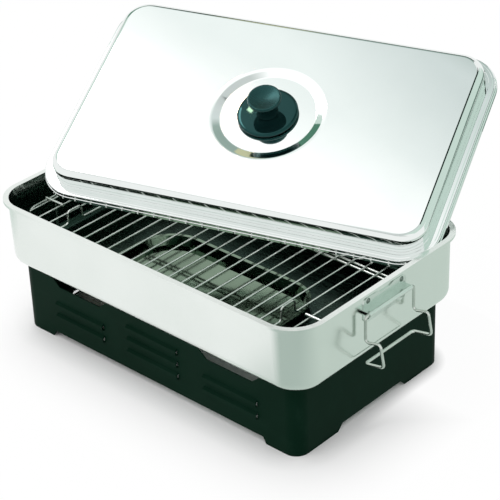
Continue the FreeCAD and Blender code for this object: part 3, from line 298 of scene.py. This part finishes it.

# Light and dark tone of the other skins, and the roughness that each ranges over.
# The pan's inner tones are painted shade: its hollow is coloured dark where shade falls.
PAINTED_SHADE_TONES, INNER_ROUGH = ((0.030, 0.064, 0.050), (0.050, 0.084, 0.064)), (0.22, 0.42)
ENAMEL_TONES, ENAMEL_ROUGH = ((0.0016, 0.0125, 0.0064), (0.0032, 0.0165, 0.0094)), (0.40, 0.58)
KNOB_TONES = ((0.0020, 0.0090, 0.0090), (0.0040, 0.0135, 0.0135))
GLOSSY_ROUGH, HANDLED_ROUGH = (0.020, 0.050), (0.26, 0.33)
WADDING_TONES, WADDING_ROUGH = ((0.72, 0.71, 0.66), (0.42, 0.39, 0.32)), (0.82, 0.98)
# Colour and strength of the dust on the enamel's streaks and of its light specks.
DUST, DUST_SHARE = (0.014, 0.036, 0.025), 0.18
SPECK, SPECK_SHARE = (0.03, 0.05, 0.04), 0.08
# Heights along the lid's axis between which the knob turns from glossy to handled.
GLOSSY_UP_TO, HANDLED_FROM = 0.036, 0.048

# The lid is drawn level about its own centre, then laid askew in one step.
LID_PLACE = (
    Matrix.Translation((-0.02889629, 0.1041, 0.1950475))
    @ Matrix.Rotation(math.radians(20.02), 4, "Z")
    @ Matrix.Rotation(math.radians(1.8), 4, "Y")
    @ Matrix.Rotation(math.radians(23.97), 4, "X")
)


def new_material(name, finish_with):
    """Material whose shader takes the inputs that finish_with works out in its tree."""
    material = bpy.data.materials.new(name)
    tree, surface = bare_tree(material, "ShaderNodeOutputMaterial")
    shader = put(tree, "ShaderNodeBsdfPrincipled", finish_with(tree))
    tree.links.new(shader.outputs["BSDF"], surface)
    return material


def two_toned(tree, factor, light, dark):
    return blend_colours(tree, factor, rgb(*light), rgb(*dark))


def relief(tree, height, strength, distance):
    inputs = {"Height": height, "Strength": strength, "Distance": distance}
    return put(tree, "ShaderNodeBump", inputs).outputs["Normal"]


def steel(tree, light, dark, rough_range, along, depth, marks_scale):
    """Steel skin: two tones, a roughness range, grain direction and depth."""
    lines = use_group(tree, GRAIN, Along=along)
    marks = use_group(tree, MARKS, Scale=marks_scale)
    wiped = work(tree, "MULTIPLY", marks["Streaks"], WIPED)
    clouded = work(tree, "MULTIPLY", marks["Patches"], CLOUDED)
    banded = work(tree, "MULTIPLY", lines["Bands"], BANDED)
    dulled = work(tree, "ADD", work(tree, "ADD", wiped, clouded), banded)
    return {
        "Metallic": 1.0,
        "Base Color": two_toned(tree, marks["Patches"], light, dark),
        "Roughness": spread(tree, dulled, 0.0, 1.0, *rough_range),
        "Normal": relief(tree, lines["Lines"], depth, GRAIN_HEIGHT),
    }


def pan_steel(tree):
    """Satin steel with painted shade: a dark tone on every face below the rim that looks inwards or
    upwards.
    """
    inputs = steel(tree, *STEELS["satin_steel"])
    facing = tree.nodes.new("ShaderNodeTexCoord").outputs["Normal"]
    inside = use_group(tree, INWARD, Facing=facing)["Mask"]
    inner_marks = use_group(tree, MARKS, Scale=16.0)
    # Painted shade: the faces inside the pan take the dark tones.
    painted_shade = two_toned(tree, inner_marks["Patches"], *PAINTED_SHADE_TONES)
    dulled = spread(tree, inner_marks["Streaks"], 0.0, 1.0, *INNER_ROUGH)
    inputs["Base Color"] = blend_colours(tree, inside, inputs["Base Color"], painted_shade)
    inputs["Roughness"] = blend_values(tree, inside, inputs["Roughness"], dulled)
    return inputs


def enamel(tree):
    """Black-green stove enamel of the wind shield, faintly dusty."""
    pits = use_group(tree, PITS, Size=420.0)
    marks = use_group(tree, MARKS, Scale=11.0)
    skin = two_toned(tree, marks["Patches"], *ENAMEL_TONES)
    dust = work(tree, "MULTIPLY", marks["Streaks"], DUST_SHARE)
    dusty = blend_colours(tree, dust, skin, rgb(*DUST))
    specks = work(tree, "MULTIPLY", pits["Specks"], SPECK_SHARE)
    worn = work(tree, "ADD", marks["Patches"], marks["Streaks"])
    return {
        "Base Color": blend_colours(tree, specks, dusty, rgb(*SPECK)),
        "Roughness": spread(tree, worn, 0.0, 2.0, *ENAMEL_ROUGH),
        "Specular IOR Level": 0.03,
        "Specular Tint": rgb(0.60, 1.0, 0.82),
        "Normal": relief(tree, pits["Relief"], strength=0.10, distance=0.0002),
    }


def knob_black(tree):
    """Polished black moulding with a green-blue sheen and fine rubbed marks."""
    pits = use_group(tree, PITS, Size=700.0)
    marks = use_group(tree, MARKS, Scale=45.0)
    glossy = spread(tree, marks["Streaks"], 0.0, 1.0, *GLOSSY_ROUGH)
    handled = spread(tree, marks["Streaks"], 0.0, 1.0, *HANDLED_ROUGH)
    low, high = (LID_PLACE @ Vector((0.0, 0.0, z)) for z in (GLOSSY_UP_TO, HANDLED_FROM))
    return {
        "Base Color": two_toned(tree, marks["Patches"], *KNOB_TONES),
        "Roughness": blend_values(tree, fade(tree, low, high), glossy, handled),
        "Specular IOR Level": 0.60,
        "Specular Tint": rgb(0.26, 0.95, 0.92),
        "Normal": relief(tree, pits["Relief"], strength=0.02, distance=0.0001),
    }


def wadding(tree):
    """Loose mineral wadding, singed brown in patches."""
    pits = use_group(tree, PITS, Size=260.0)
    marks = use_group(tree, MARKS, Scale=35.0)
    return {
        "Base Color": two_toned(tree, marks["Patches"], *WADDING_TONES),
        "Roughness": spread(tree, pits["Relief"], 0.2, 0.8, *WADDING_ROUGH),
        "Normal": relief(tree, pits["Relief"], strength=0.6, distance=0.001),
    }


def make_finishes():
    """Every finish by the name of its slot."""
    looks = {name: lambda tree, look=look: steel(tree, *look) for name, look in STEELS.items()}
    looks["satin_steel"] = pan_steel
    looks["shield_enamel"] = enamel
    looks["knob_black"] = knob_black
    looks["wadding_white"] = wadding
    return {name: new_material(name, look) for name, look in looks.items()}


def new_piece(name, mesh, finish, body):
    """Object at the origin with one finish, riding a body."""
    piece = bpy.data.objects.new(name, mesh)
    bpy.context.scene.collection.objects.link(piece)
    mesh.materials.clear()
    mesh.materials.append(finishes[finish])
    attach(piece, body)
    return piece


# ---------------------------------------------------------------- lid and knob
LID_TOP = 0.0275
LID_SHEET = 0.0008
# Radii about the knob's axis: the edge of the patch that is drawn again, and the rim and
# the foot of the seat's slope.
PATCH_EDGE, SEAT_RIM, SEAT_FOOT = 0.0652, 0.0622, 0.0496
SEAT_DEPTH = 0.0024
SLOPE_RINGS = 16
OUTER_RINGS = (PATCH_EDGE, 0.0635, SEAT_RIM)
INNER_RINGS = (0.0470, 0.0340, 0.0180, 0.0027)
# Shares of the slope that ease in at its rim and out at its foot.
EASE_RIM, EASE_FOOT = 0.34, 0.10
# The knob and its seat stand a little to one side, reached over the first few millimetres.
KNOB_SHIFT = Vector((0.0018, 0.0, 0.0))
SHIFT_RUN = 0.003
# How near a vertex of the solid has to be to count as on the patch's edge or inside it.
ON_EDGE, INSIDE_EDGE, NEAR_TOP = 0.00006, 0.00015, 0.0013


def seat_drop(radius):
    """Depth and slope of the pressed seat at a distance from the knob's axis."""
    width = SEAT_RIM - SEAT_FOOT
    along = min(max((SEAT_RIM - radius) / width, 0.0), 1.0)
    steep = 1.0 / (1.0 - EASE_RIM / 2 - EASE_FOOT / 2)
    if along < EASE_RIM:
        share, rate = steep * along * along / (2 * EASE_RIM), steep * along / EASE_RIM
    elif along < 1.0 - EASE_FOOT:
        share, rate = steep * (along - EASE_RIM / 2), steep
    else:
        left = 1.0 - along
        share, rate = 1.0 - steep * left * left / (2 * EASE_FOOT), steep * left / EASE_FOOT
    if radius > SEAT_RIM or radius < SEAT_FOOT:
        rate = 0.0
    return SEAT_DEPTH * share, SEAT_DEPTH * rate / width


def solid_without_patch():
    """The lid's solid laid level, less its top round the knob: spots, faces, normals."""
    source = nodes["lid_shell"].data
    to_lid = LID_PLACE.inverted()
    turn = to_lid.to_3x3()
    spots = [to_lid @ vertex.co for vertex in source.vertices]
    looks = [turn @ corner.vector for corner in source.corner_normals]
    faces = []
    normals = []
    for face in source.polygons:
        corners = [spots[i] for i in face.vertices]
        near_axis = all(c.xy.length < PATCH_EDGE + INSIDE_EDGE for c in corners)
        if near_axis and all(c.z > LID_TOP - NEAR_TOP for c in corners):
            continue
        faces.append(tuple(face.vertices))
        normals += [looks[i] for i in face.loop_indices]
    return spots, faces, normals


def press_seat(spots, faces, normals, height, way):
    """Add one side of the patch: rings from its edge to the bore, looking up or down."""
    edge = {}
    for spot in spots:
        on_circle = abs(spot.xy.length - PATCH_EDGE) < ON_EDGE
        if on_circle and abs(spot.z - height) < ON_EDGE:
            edge[round(math.atan2(spot.y, spot.x), 4)] = spot
    turns = sorted(edge)
    step = (SEAT_FOOT - SEAT_RIM) / SLOPE_RINGS
    slope_rings = [SEAT_RIM + step * k for k in range(1, SLOPE_RINGS + 1)]
    first = len(spots)
    rows = []
    for radius in (*OUTER_RINGS, *slope_rings, *INNER_RINGS):
        drop, slope = seat_drop(radius)
        shift = KNOB_SHIFT * min(1.0, (PATCH_EDGE - radius) / SHIFT_RUN)
        row = []
        for angle in turns:
            out = Vector((math.cos(angle), math.sin(angle), 0.0))
            spots.append(shift + out * radius + Vector((0.0, 0.0, height - drop)))
            row.append((out * -slope + Vector((0.0, 0.0, 1.0))).normalized() * way)
        rows.append(row)
    count = len(turns)
    for k in range(len(rows) - 1):
        for i in range(count):
            j = (i + 1) % count
            quad = [(k, i), (k + 1, i), (k + 1, j), (k, j)]
            if way > 0:
                quad.reverse()
            faces.append(tuple(first + a * count + b for a, b in quad))
            normals += [rows[a][b] for a, b in quad]


def make_pressed_lid():
    """The lid with a shallow round seat pressed into its top for the knob."""
    spots, faces, normals = solid_without_patch()
    for height, way in ((LID_TOP, 1.0), (LID_TOP - LID_SHEET, -1.0)):
        press_seat(spots, faces, normals, height, way)
    mesh = bpy.data.meshes.new("pressed_lid")
    mesh.from_pydata([tuple(LID_PLACE @ spot) for spot in spots], [], faces)
    mesh.shade_smooth()
    back = LID_PLACE.to_3x3()
    mesh.normals_split_custom_set([tuple(back @ look) for look in normals])
    piece = new_piece("pressed_lid", mesh, "polished_steel", "lid")
    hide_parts("lid_shell")


# Turned pieces: name, solid it stands for, finish, rounds of easing, and the outline as
# radius and height over the seat, in mm. A doubled point stays sharp.
BORE = 2.6
UNDER_SHEET = -0.8
UNDER_WASHER = UNDER_SHEET - 1.0
TURNED = (
    ("knob_seat_washer", "lid_knob_washer", "washer_steel", 1, (
        (BORE, 0.0), (BORE, 0.0), (23.6, 0.0), (24.0, 0.3), (24.0, 0.9), (23.6, 1.2),
        (BORE, 1.2), (BORE, 1.2))),
    ("knob_plate", "lid_knob_disc", "knob_black", 2, (
        (BORE, 1.2), (BORE, 1.2), (28.5, 1.2), (30.8, 1.5), (32.0, 2.6), (31.8, 4.0),
        (30.4, 4.9), (27.5, 5.2), (14.0, 5.3), (BORE, 5.3), (BORE, 5.3))),
    ("turned_knob", "lid_knob", "knob_black", 2, (
        (BORE, 16.0), (BORE, 16.0), (BORE, 5.3), (BORE, 5.3), (11.6, 5.3), (11.6, 5.3),
        (11.3, 6.4), (10.8, 9.0), (10.5, 12.5), (10.7, 16.0), (12.4, 19.4), (15.6, 21.8),
        (17.2, 23.3), (17.6, 25.0), (17.5, 26.5), (16.8, 27.5), (13.0, 26.8), (6.0, 25.5),
        (0.0, 25.1), (0.0, 25.1), (0.0, 16.0), (0.0, 16.0))),
    ("knob_screw_washer", "lid_screw_washer", "washer_steel", 1, (
        (BORE, UNDER_SHEET), (BORE, UNDER_SHEET), (7.8, UNDER_SHEET), (8.0, UNDER_SHEET - 0.2),
        (8.0, UNDER_SHEET - 0.8), (7.8, UNDER_WASHER), (BORE, UNDER_WASHER), (BORE, UNDER_WASHER))),
    ("knob_screw", "lid_knob_screw", "washer_steel", 1, (
        (0.0, UNDER_WASHER - 2.5), (0.0, UNDER_WASHER - 2.5), (2.6, UNDER_WASHER - 2.4),
        (4.0, UNDER_WASHER - 1.7), (4.6, UNDER_WASHER - 0.6), (4.6, UNDER_WASHER),
        (4.6, UNDER_WASHER), (2.5, UNDER_WASHER), (2.5, UNDER_WASHER), (2.5, 15.0), (2.5, 15.0),
        (0.0, 15.0), (0.0, 15.0))),
)
MM_PER_METRE = 1000.0
TURNED_SIDES = 96
SAME_SPOT = 0.000004
SHARP_ANGLE = math.radians(40.0)


def eased(outline, times):
    """Outline with its corners cut again and again; a doubled point stays sharp."""
    for _ in range(times):
        finer = [outline[0]]
        for (a, b), (c, d) in zip(outline, outline[1:]):
            if (a, b) == (c, d):
                finer += [(a, b), (a, b)]
            else:
                finer.append((a * 0.75 + c * 0.25, b * 0.75 + d * 0.25))
                finer.append((a * 0.25 + c * 0.75, b * 0.25 + d * 0.75))
        finer.append(outline[-1])
        outline = finer
    return outline


def turn_on_knob_axis(name, node, finish, times, outline):
    """Solid of revolution about the knob's axis."""
    form = bmesh.new()
    foot = KNOB_SHIFT + Vector((0.0, 0.0, LID_TOP - SEAT_DEPTH))
    rings = []
    for radius, height in eased(outline, times):
        ring = []
        for k in range(TURNED_SIDES):
            angle = 2.0 * math.pi * k / TURNED_SIDES
            arm = Vector((math.cos(angle) * radius, math.sin(angle) * radius, height))
            ring.append(form.verts.new(LID_PLACE @ (foot + arm / MM_PER_METRE)))
        rings.append(ring)
    rings.append(rings[0])
    for low, high in zip(rings, rings[1:]):
        for k in range(TURNED_SIDES):
            j = (k + 1) % TURNED_SIDES
            form.faces.new((low[k], low[j], high[j], high[k]))
    bmesh.ops.remove_doubles(form, verts=form.verts, dist=SAME_SPOT)
    bmesh.ops.recalc_face_normals(form, faces=form.faces)
    mesh = bpy.data.meshes.new(name)
    form.to_mesh(mesh)
    form.free()
    mesh.shade_smooth()
    mesh.set_sharp_from_angle(angle=SHARP_ANGLE)
    piece = new_piece(name, mesh, finish, "lid")
    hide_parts(node)


# ---------------------------------------------------------------- burner gauze
GAUZE_SIZES = {
    "Length": 0.1, "Width": 0.07, "Corner": 0.015, "Step": 0.0034, "Wire": 0.00042, "Wave": 0.00042}
WIRE_SIDES, HEM_SIDES, HEM_CORNER_STEPS = 5, 10, 10
HEM_PER_WIRE = 1.9
STEPS_PER_WAVE = 4.0
# The gauze is this much smaller than the plate it stands for, with this corner.
GAUZE_PLAY, GAUZE_CORNER = 0.0017, 0.0145


def build_woven_gauze():
    """Geometry tree: wires woven over and under, cut to a rounded outline."""
    tree = bpy.data.node_groups.new("woven_gauze", "GeometryNodeTree")
    face = tree.interface
    face.new_socket("Geometry", in_out="INPUT", socket_type="NodeSocketGeometry")
    for label, value in GAUZE_SIZES.items():
        socket = face.new_socket(label, in_out="INPUT", socket_type="NodeSocketFloat")
        socket.default_value = value
    face.new_socket("Finish", in_out="INPUT", socket_type="NodeSocketMaterial")
    face.new_socket("Geometry", in_out="OUTPUT", socket_type="NodeSocketGeometry")
    taken = tree.nodes.new("NodeGroupInput").outputs
    step, corner = taken["Step"], taken["Corner"]

    def figure(operation, first, second=0.0):
        return work(tree, operation, first, second)

    def form(kind, inputs, **settings):
        return put(tree, kind, inputs, **settings).outputs[0]

    def place():
        return parts_of(tree, form("GeometryNodeInputPosition", {}))

    def tube(path, radius, sides):
        profile = form("GeometryNodeCurvePrimitiveCircle", {"Resolution": sides, "Radius": radius})
        return put(tree, "GeometryNodeCurveToMesh", {"Curve": path, "Profile Curve": profile})

    def together(*shapes):
        node = tree.nodes.new("GeometryNodeJoinGeometry")
        for shape in shapes:
            tree.links.new(shape, node.inputs[0])
        return form("GeometryNodeRealizeInstances", {0: node.outputs[0]})

    def weave(run, across, turn):
        """Parallel wires of one direction, every second one waving the other way."""
        tail = vector_of(tree, X=figure("MULTIPLY", run, -0.5))
        tip = vector_of(tree, X=figure("MULTIPLY", run, 0.5))
        line = form("GeometryNodeCurvePrimitiveLine", {"Start": tail, "End": tip})
        waves = figure("ROUND", figure("DIVIDE", run, step))
        count = figure("ADD", figure("MULTIPLY", waves, STEPS_PER_WAVE), 1.0)
        finer = form("GeometryNodeResampleCurve", {"Curve": line, "Count": count})
        phase = figure("MULTIPLY", figure("DIVIDE", place()["X"], step), math.pi)
        lift = vector_of(tree, Z=figure("MULTIPLY", figure("COSINE", phase), taken["Wave"]))
        waved = form("GeometryNodeSetPosition", {"Geometry": finer, "Offset": lift})
        wire = tube(waved, taken["Wire"], WIRE_SIDES)
        wire.inputs["Fill Caps"].default_value = True
        half = figure("ROUND", figure("DIVIDE", figure("MULTIPLY", across, 0.5), step))
        first = figure("MULTIPLY", figure("MULTIPLY", half, step), -1.0)
        row = {
            "Count": figure("ADD", figure("MULTIPLY", half, 2.0), 1.0),
            "Start Location": vector_of(tree, Y=first),
            "Offset": vector_of(tree, Y=step),
        }
        order = form("GeometryNodeInputIndex", {})
        placed = {
            "Points": form("GeometryNodeMeshLine", row, mode="OFFSET"),
            "Instance": wire.outputs[0],
            "Rotation": vector_of(tree, X=figure("MULTIPLY", order, math.pi)),
        }
        wires = form("GeometryNodeInstanceOnPoints", placed)
        return form("GeometryNodeTransform", {"Geometry": wires, "Rotation": turn})

    woven = together(
        weave(taken["Length"], taken["Width"], (0.0, 0.0, 0.0)),
        weave(taken["Width"], taken["Length"], (math.pi, 0.0, math.pi / 2)))
    spot = place()
    squares = []
    for axis, side in (("X", "Length"), ("Y", "Width")):
        straight = figure("SUBTRACT", figure("MULTIPLY", taken[side], 0.5), corner)
        past = figure("SUBTRACT", figure("ABSOLUTE", spot[axis]), straight)
        past = figure("MAXIMUM", past, 0.0)
        squares.append(figure("MULTIPLY", past, past))
    outside = figure("GREATER_THAN", figure("SQRT", figure("ADD", *squares)), corner)
    cut = form("GeometryNodeDeleteGeometry", {"Geometry": woven, "Selection": outside})
    size = {"Width": taken["Length"], "Height": taken["Width"]}
    outline = form("GeometryNodeCurvePrimitiveQuadrilateral", size)
    bend = {"Curve": outline, "Radius": corner, "Count": HEM_CORNER_STEPS}
    rounded = form("GeometryNodeFilletCurve", bend, mode="POLY")
    hem = tube(rounded, figure("MULTIPLY", taken["Wire"], HEM_PER_WIRE), HEM_SIDES)
    whole = together(cut, hem.outputs[0])
    dressed = form("GeometryNodeSetMaterial", {"Geometry": whole, "Material": taken["Finish"]})
    tree.links.new(dressed, tree.nodes.new("NodeGroupOutput").inputs[0])
    return tree


def make_gauze(tree, side):
    """Woven gauze that covers one burner's wadding, in place of its plain plate."""
    low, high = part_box("burner_%s_grille" % side)
    blank = bpy.data.objects.new("gauze_blank", bpy.data.meshes.new("gauze_blank"))
    bpy.context.scene.collection.objects.link(blank)
    shaper = blank.modifiers.new("woven_gauze", "NODES")
    shaper.node_group = tree
    items = tree.interface.items_tree
    names = {item.name: item.identifier for item in items if item.in_out == "INPUT"}
    shaper[names["Length"]] = high[0] - low[0] - GAUZE_PLAY
    shaper[names["Width"]] = high[1] - low[1] - GAUZE_PLAY
    shaper[names["Corner"]] = GAUZE_CORNER
    shaper[names["Finish"]] = finishes["burner_gauze"]
    bpy.context.view_layer.update()
    baked = blank.evaluated_get(bpy.context.evaluated_depsgraph_get())
    mesh = bpy.data.meshes.new_from_object(baked)
    bpy.data.objects.remove(blank)
    mesh.transform(Matrix.Translation([(a + b) / 2 for a, b in zip(low, high)]))
    mesh.shade_smooth()
    mesh.name = "burner_%s_gauze" % side
    piece = new_piece("burner_%s_gauze" % side, mesh, "burner_gauze", "burner_%s" % side)
    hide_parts("burner_%s_grille" % side)


# ---------------------------------------------------------------- stage
FLOOR_REACH = 12.0
FLOOR_TONE = 0.86
WORLD_GLOW = 0.90
# The table's glow towards the eye grows with the distance from a box this far inside the shield's
# walls. This paints the shadow's reach, as the real shadow shows only where the glow is small. The
# steps give: where it begins, where it is full, its share of the glow.
GLOW_INSET = 0.03
GLOW_STEPS = ((0.029, 0.058, 0.40), (0.050, 0.125, 0.58))
# Behind the box it comes back over this stretch of y, right up to the shield's foot, as painted
# light that washes the shadow out there.
PAINTED_LIGHT_BEHIND, PAINTED_LIGHT_SHARE, BEHIND_EDGE = (-0.06, 0.05), 0.95, (0.030, 0.046)

# Name, place, aim, size and power of each lamp.
LAMPS = (
    ("overhead_softbox", (-0.55, 0.15, 1.75), (0.0, 0.05, 0.1), (1.6, 1.3), 14.0),
    ("front_softbox", (-0.9, -1.7, 1.3), (0.0, 0.0, 0.1), (1.2, 1.2), 6.0),
)

# Strength and colour of each glow, then further colours that it fades to, each with the
# spots where that fade begins and ends.
GLOWS = {
    "dark_board": (1.0, (0.012, 0.028, 0.021)),
    "grey_board": (1.0, (0.22, 0.27, 0.25)),
    "deep_green_board": (1.0, (0.170, 0.260, 0.215)),
    "teal_board": (1.0, (0.090, 0.230, 0.160)),
    "mint_board": (1.0, (0.660, 0.790, 0.725)),
    "cream_board": (1.0, (0.62, 0.62, 0.40)),
    "grey_green_board": (1.0, (0.34, 0.44, 0.40)),
    "soft_window": (6.0, (1.0, 0.94, 0.97)),
    "warm_window": (32.0, (1.0, 0.60, 0.42)),
    "overhead_white": (
        1.0, (1.22, 1.22, 1.22),
        ((1.00, 1.04, 1.03), (0.0, 0.200, 0.0), (0.0, 0.300, 0.0)),
        ((0.74, 0.80, 0.795), (-0.300, 0.290, 0.0), (-0.255, 0.450, 0.0)),
        ((0.36, 0.46, 0.42), (0.0, 0.475, 0.0), (0.0, 0.560, 0.0)),
        ((0.66, 0.70, 0.69), (-0.17, 0.0, 0.0), (-0.06, 0.0, 0.0))),
    "table_glow": (
        1.0, (1.0, 1.0, 1.0),
        ((0.48, 0.56, 0.52), (0.04, 0.0, 0.0), (0.15, 0.0, 0.0)),
        ((0.62, 0.70, 0.65), (0.0, -0.22, 0.0), (0.0, 0.02, 0.0))),
    "left_table_glow": (
        1.0, (1.0, 1.0, 1.0),
        ((0.66, 0.75, 0.705), (-0.34, 0.0, 0.0), (-0.46, 0.0, 0.0))),
}

# Name, glow and two opposite corners of each board. A board whose corners are level lies
# flat with its edges along x and y, and any other stands upright.
BOARDS = (
    ("overhead_card", "overhead_white", (-1.05, -0.55, 1.5), (0.42, 0.62, 1.5)),
    ("front_gap_card", "grey_board", (-1.2, -0.67, 1.5), (0.9, -0.60, 1.5)),
    ("back_left_card", "dark_board", (-1.25, 0.62, 1.5), (-0.20, 1.25, 1.5)),
    ("left_teal_card", "teal_board", (-1.9, 0.28, 1.5), (-1.05, 0.62, 1.5)),
    ("left_mint_card", "mint_board", (-1.9, -0.40, 1.5), (-1.05, 0.28, 1.5)),
    ("right_gap_card", "dark_board", (-0.04, 0.22, 1.49), (0.20, 0.80, 1.49)),
    ("soft_window_card", "soft_window", (-1.00, -0.34, 1.495), (-0.64, 0.20, 1.495)),
    ("cream_card", "cream_board", (-0.88, 0.625, 1.49), (-0.70, 0.86, 1.49)),
    ("grey_green_card", "grey_green_board", (-0.70, 0.605, 1.49), (-0.20, 0.86, 1.49)),
    ("warm_window_card", "warm_window", (-0.561, 0.210, 1.48), (-0.539, 0.232, 1.48)),
    ("right_mint_card", "mint_board", (0.20, -0.30, 1.495), (1.30, 1.50, 1.495)),
    ("back_right_upper_board", "mint_board", (0.28, 1.93, 0.52), (1.72, 0.93, 1.48)),
    ("back_right_lower_board", "deep_green_board", (0.28, 1.93, 0.01), (1.00, 1.43, 0.51)),
    ("right_lower_mint_board", "mint_board", (1.00, 1.43, 0.01), (1.72, 0.93, 0.51)),
    ("low_right_card", "table_glow", (0.04, -0.42, 0.004), (0.80, 0.60, 0.004)),
    ("low_back_card", "deep_green_board", (-0.20, 0.27, 0.003), (0.70, 1.20, 0.003)),
    ("low_left_card", "left_table_glow", (-0.95, -0.35, 0.003), (-0.33, 0.40, 0.003)),
)


def sheet(name, corners, material):
    """Flat four-cornered object."""
    mesh = bpy.data.meshes.new(name)
    mesh.from_pydata(corners, [], [(0, 1, 2, 3)])
    mesh.materials.append(material)
    made = bpy.data.objects.new(name, mesh)
    bpy.context.scene.collection.objects.link(made)
    return made


def make_glow(name, strength, colour, *fades):
    """Glow of one colour, or of several that run into each other."""
    material = bpy.data.materials.new(name)
    tree, surface = bare_tree(material, "ShaderNodeOutputMaterial")
    colour = rgb(*colour)
    for far, begin, finish in fades:
        colour = blend_colours(tree, fade(tree, begin, finish), colour, rgb(*far))
    glow = put(tree, "ShaderNodeEmission", {"Color": colour, "Strength": strength})
    tree.links.new(glow.outputs[0], surface)
    return material


def make_boards():
    """Bright, tinted and dark boards round the table, seen only in bright metal."""
    glows = {name: make_glow(name, *look) for name, look in GLOWS.items()}
    for name, glow, (x, y, z), (far_x, far_y, far_z) in BOARDS:
        if z == far_z:
            corners = [(x, y, z), (far_x, y, z), (far_x, far_y, z), (x, far_y, z)]
        else:
            corners = [(x, y, z), (far_x, far_y, z), (far_x, far_y, far_z), (x, y, far_z)]
        board = sheet(name, corners, glows[glow])
        board.visible_camera = False
        board.visible_diffuse = False
        board.visible_shadow = False
        board.visible_transmission = False


def painted_shadow_share(tree):
    """Share of the table's glow, which paints the shadow and painted light: none inside the shield,
    more with the distance, and much behind the box.
    """
    low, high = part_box("wind_shield")
    spot = parts_of(tree, place_on(tree))
    squares = []
    for k, axis in enumerate("XY"):
        middle, half = (low[k] + high[k]) / 2, (high[k] - low[k]) / 2 - GLOW_INSET
        off = work(tree, "ABSOLUTE", work(tree, "SUBTRACT", spot[axis], middle))
        off = work(tree, "MAXIMUM", work(tree, "SUBTRACT", off, half), 0.0)
        squares.append(work(tree, "MULTIPLY", off, off))
    away = work(tree, "SQRT", work(tree, "ADD", *squares))
    lit = work(tree, "ADD", *[
        spread(tree, away, begin, full, 0.0, share) for begin, full, share in GLOW_STEPS])
    painted_light_behind = work(
        tree, "MULTIPLY", spread(tree, spot["Y"], *PAINTED_LIGHT_BEHIND, 0.0, PAINTED_LIGHT_SHARE),
        spread(tree, away, *BEHIND_EDGE))
    return work(tree, "MAXIMUM", lit, painted_light_behind)


def make_floor():
    """White table that takes shadows and glows a little towards the eye; the glow is cut near the
    shield to paint the shadow's reach.
    """
    material = bpy.data.materials.new("white_floor")
    tree, surface = bare_tree(material, "ShaderNodeOutputMaterial")
    matte = put(tree, "ShaderNodeBsdfDiffuse", {"Color": rgb(FLOOR_TONE, FLOOR_TONE, FLOOR_TONE)})
    glow = put(tree, "ShaderNodeEmission", {"Strength": 1.0})
    share = work(tree, "MULTIPLY", seen_directly(tree), painted_shadow_share(tree))
    mix = put(tree, "ShaderNodeMixShader", {0: share, 1: matte.outputs[0], 2: glow.outputs[0]})
    tree.links.new(mix.outputs[0], surface)
    far = FLOOR_REACH
    corners = [(-far, -far, 0), (far, -far, 0), (far, far, 0), (-far, far, 0)]
    floor = sheet("studio_floor", corners, material)


def make_world():
    world = bpy.data.worlds.new("studio_world")
    bpy.context.scene.world = world
    tree, surface = bare_tree(world, "ShaderNodeOutputWorld")
    glow = spread(tree, seen_directly(tree), 0.0, 1.0, WORLD_GLOW, 1.0)
    sky = put(tree, "ShaderNodeBackground", {"Color": rgb(1.0, 1.0, 1.0), "Strength": glow})
    tree.links.new(sky.outputs[0], surface)


def make_lamp(name, where, aim, size, power):
    """Wide lamp that lights the object and isn't mirrored in it."""
    data = bpy.data.lights.new(name, "AREA")
    data.shape = "RECTANGLE"
    data.size, data.size_y = size
    data.energy = power
    lamp = bpy.data.objects.new(name, data)
    turn = (Vector(aim) - Vector(where)).to_track_quat("-Z", "Y")
    lamp.matrix_world = Matrix.Translation(where) @ turn.to_matrix().to_4x4()
    lamp.visible_glossy = False
    bpy.context.scene.collection.objects.link(lamp)


# ---------------------------------------------------------------- all together
make_camera()
finishes = make_finishes()
for entry in frame["record"]["subparts"]:
    skin = nodes[entry["node"]].data.materials
    skin.clear()
    skin.append(finishes[entry["material_slot"]])

make_pressed_lid()
for turned in TURNED:
    turn_on_knob_axis(*turned)
gauze_tree = build_woven_gauze()
for side in ("left", "right"):
    make_gauze(gauze_tree, side)

make_floor()
make_world()
make_boards()
for lamp in LAMPS:
    make_lamp(*lamp)

bpy.context.scene.view_settings.view_transform = "Standard"
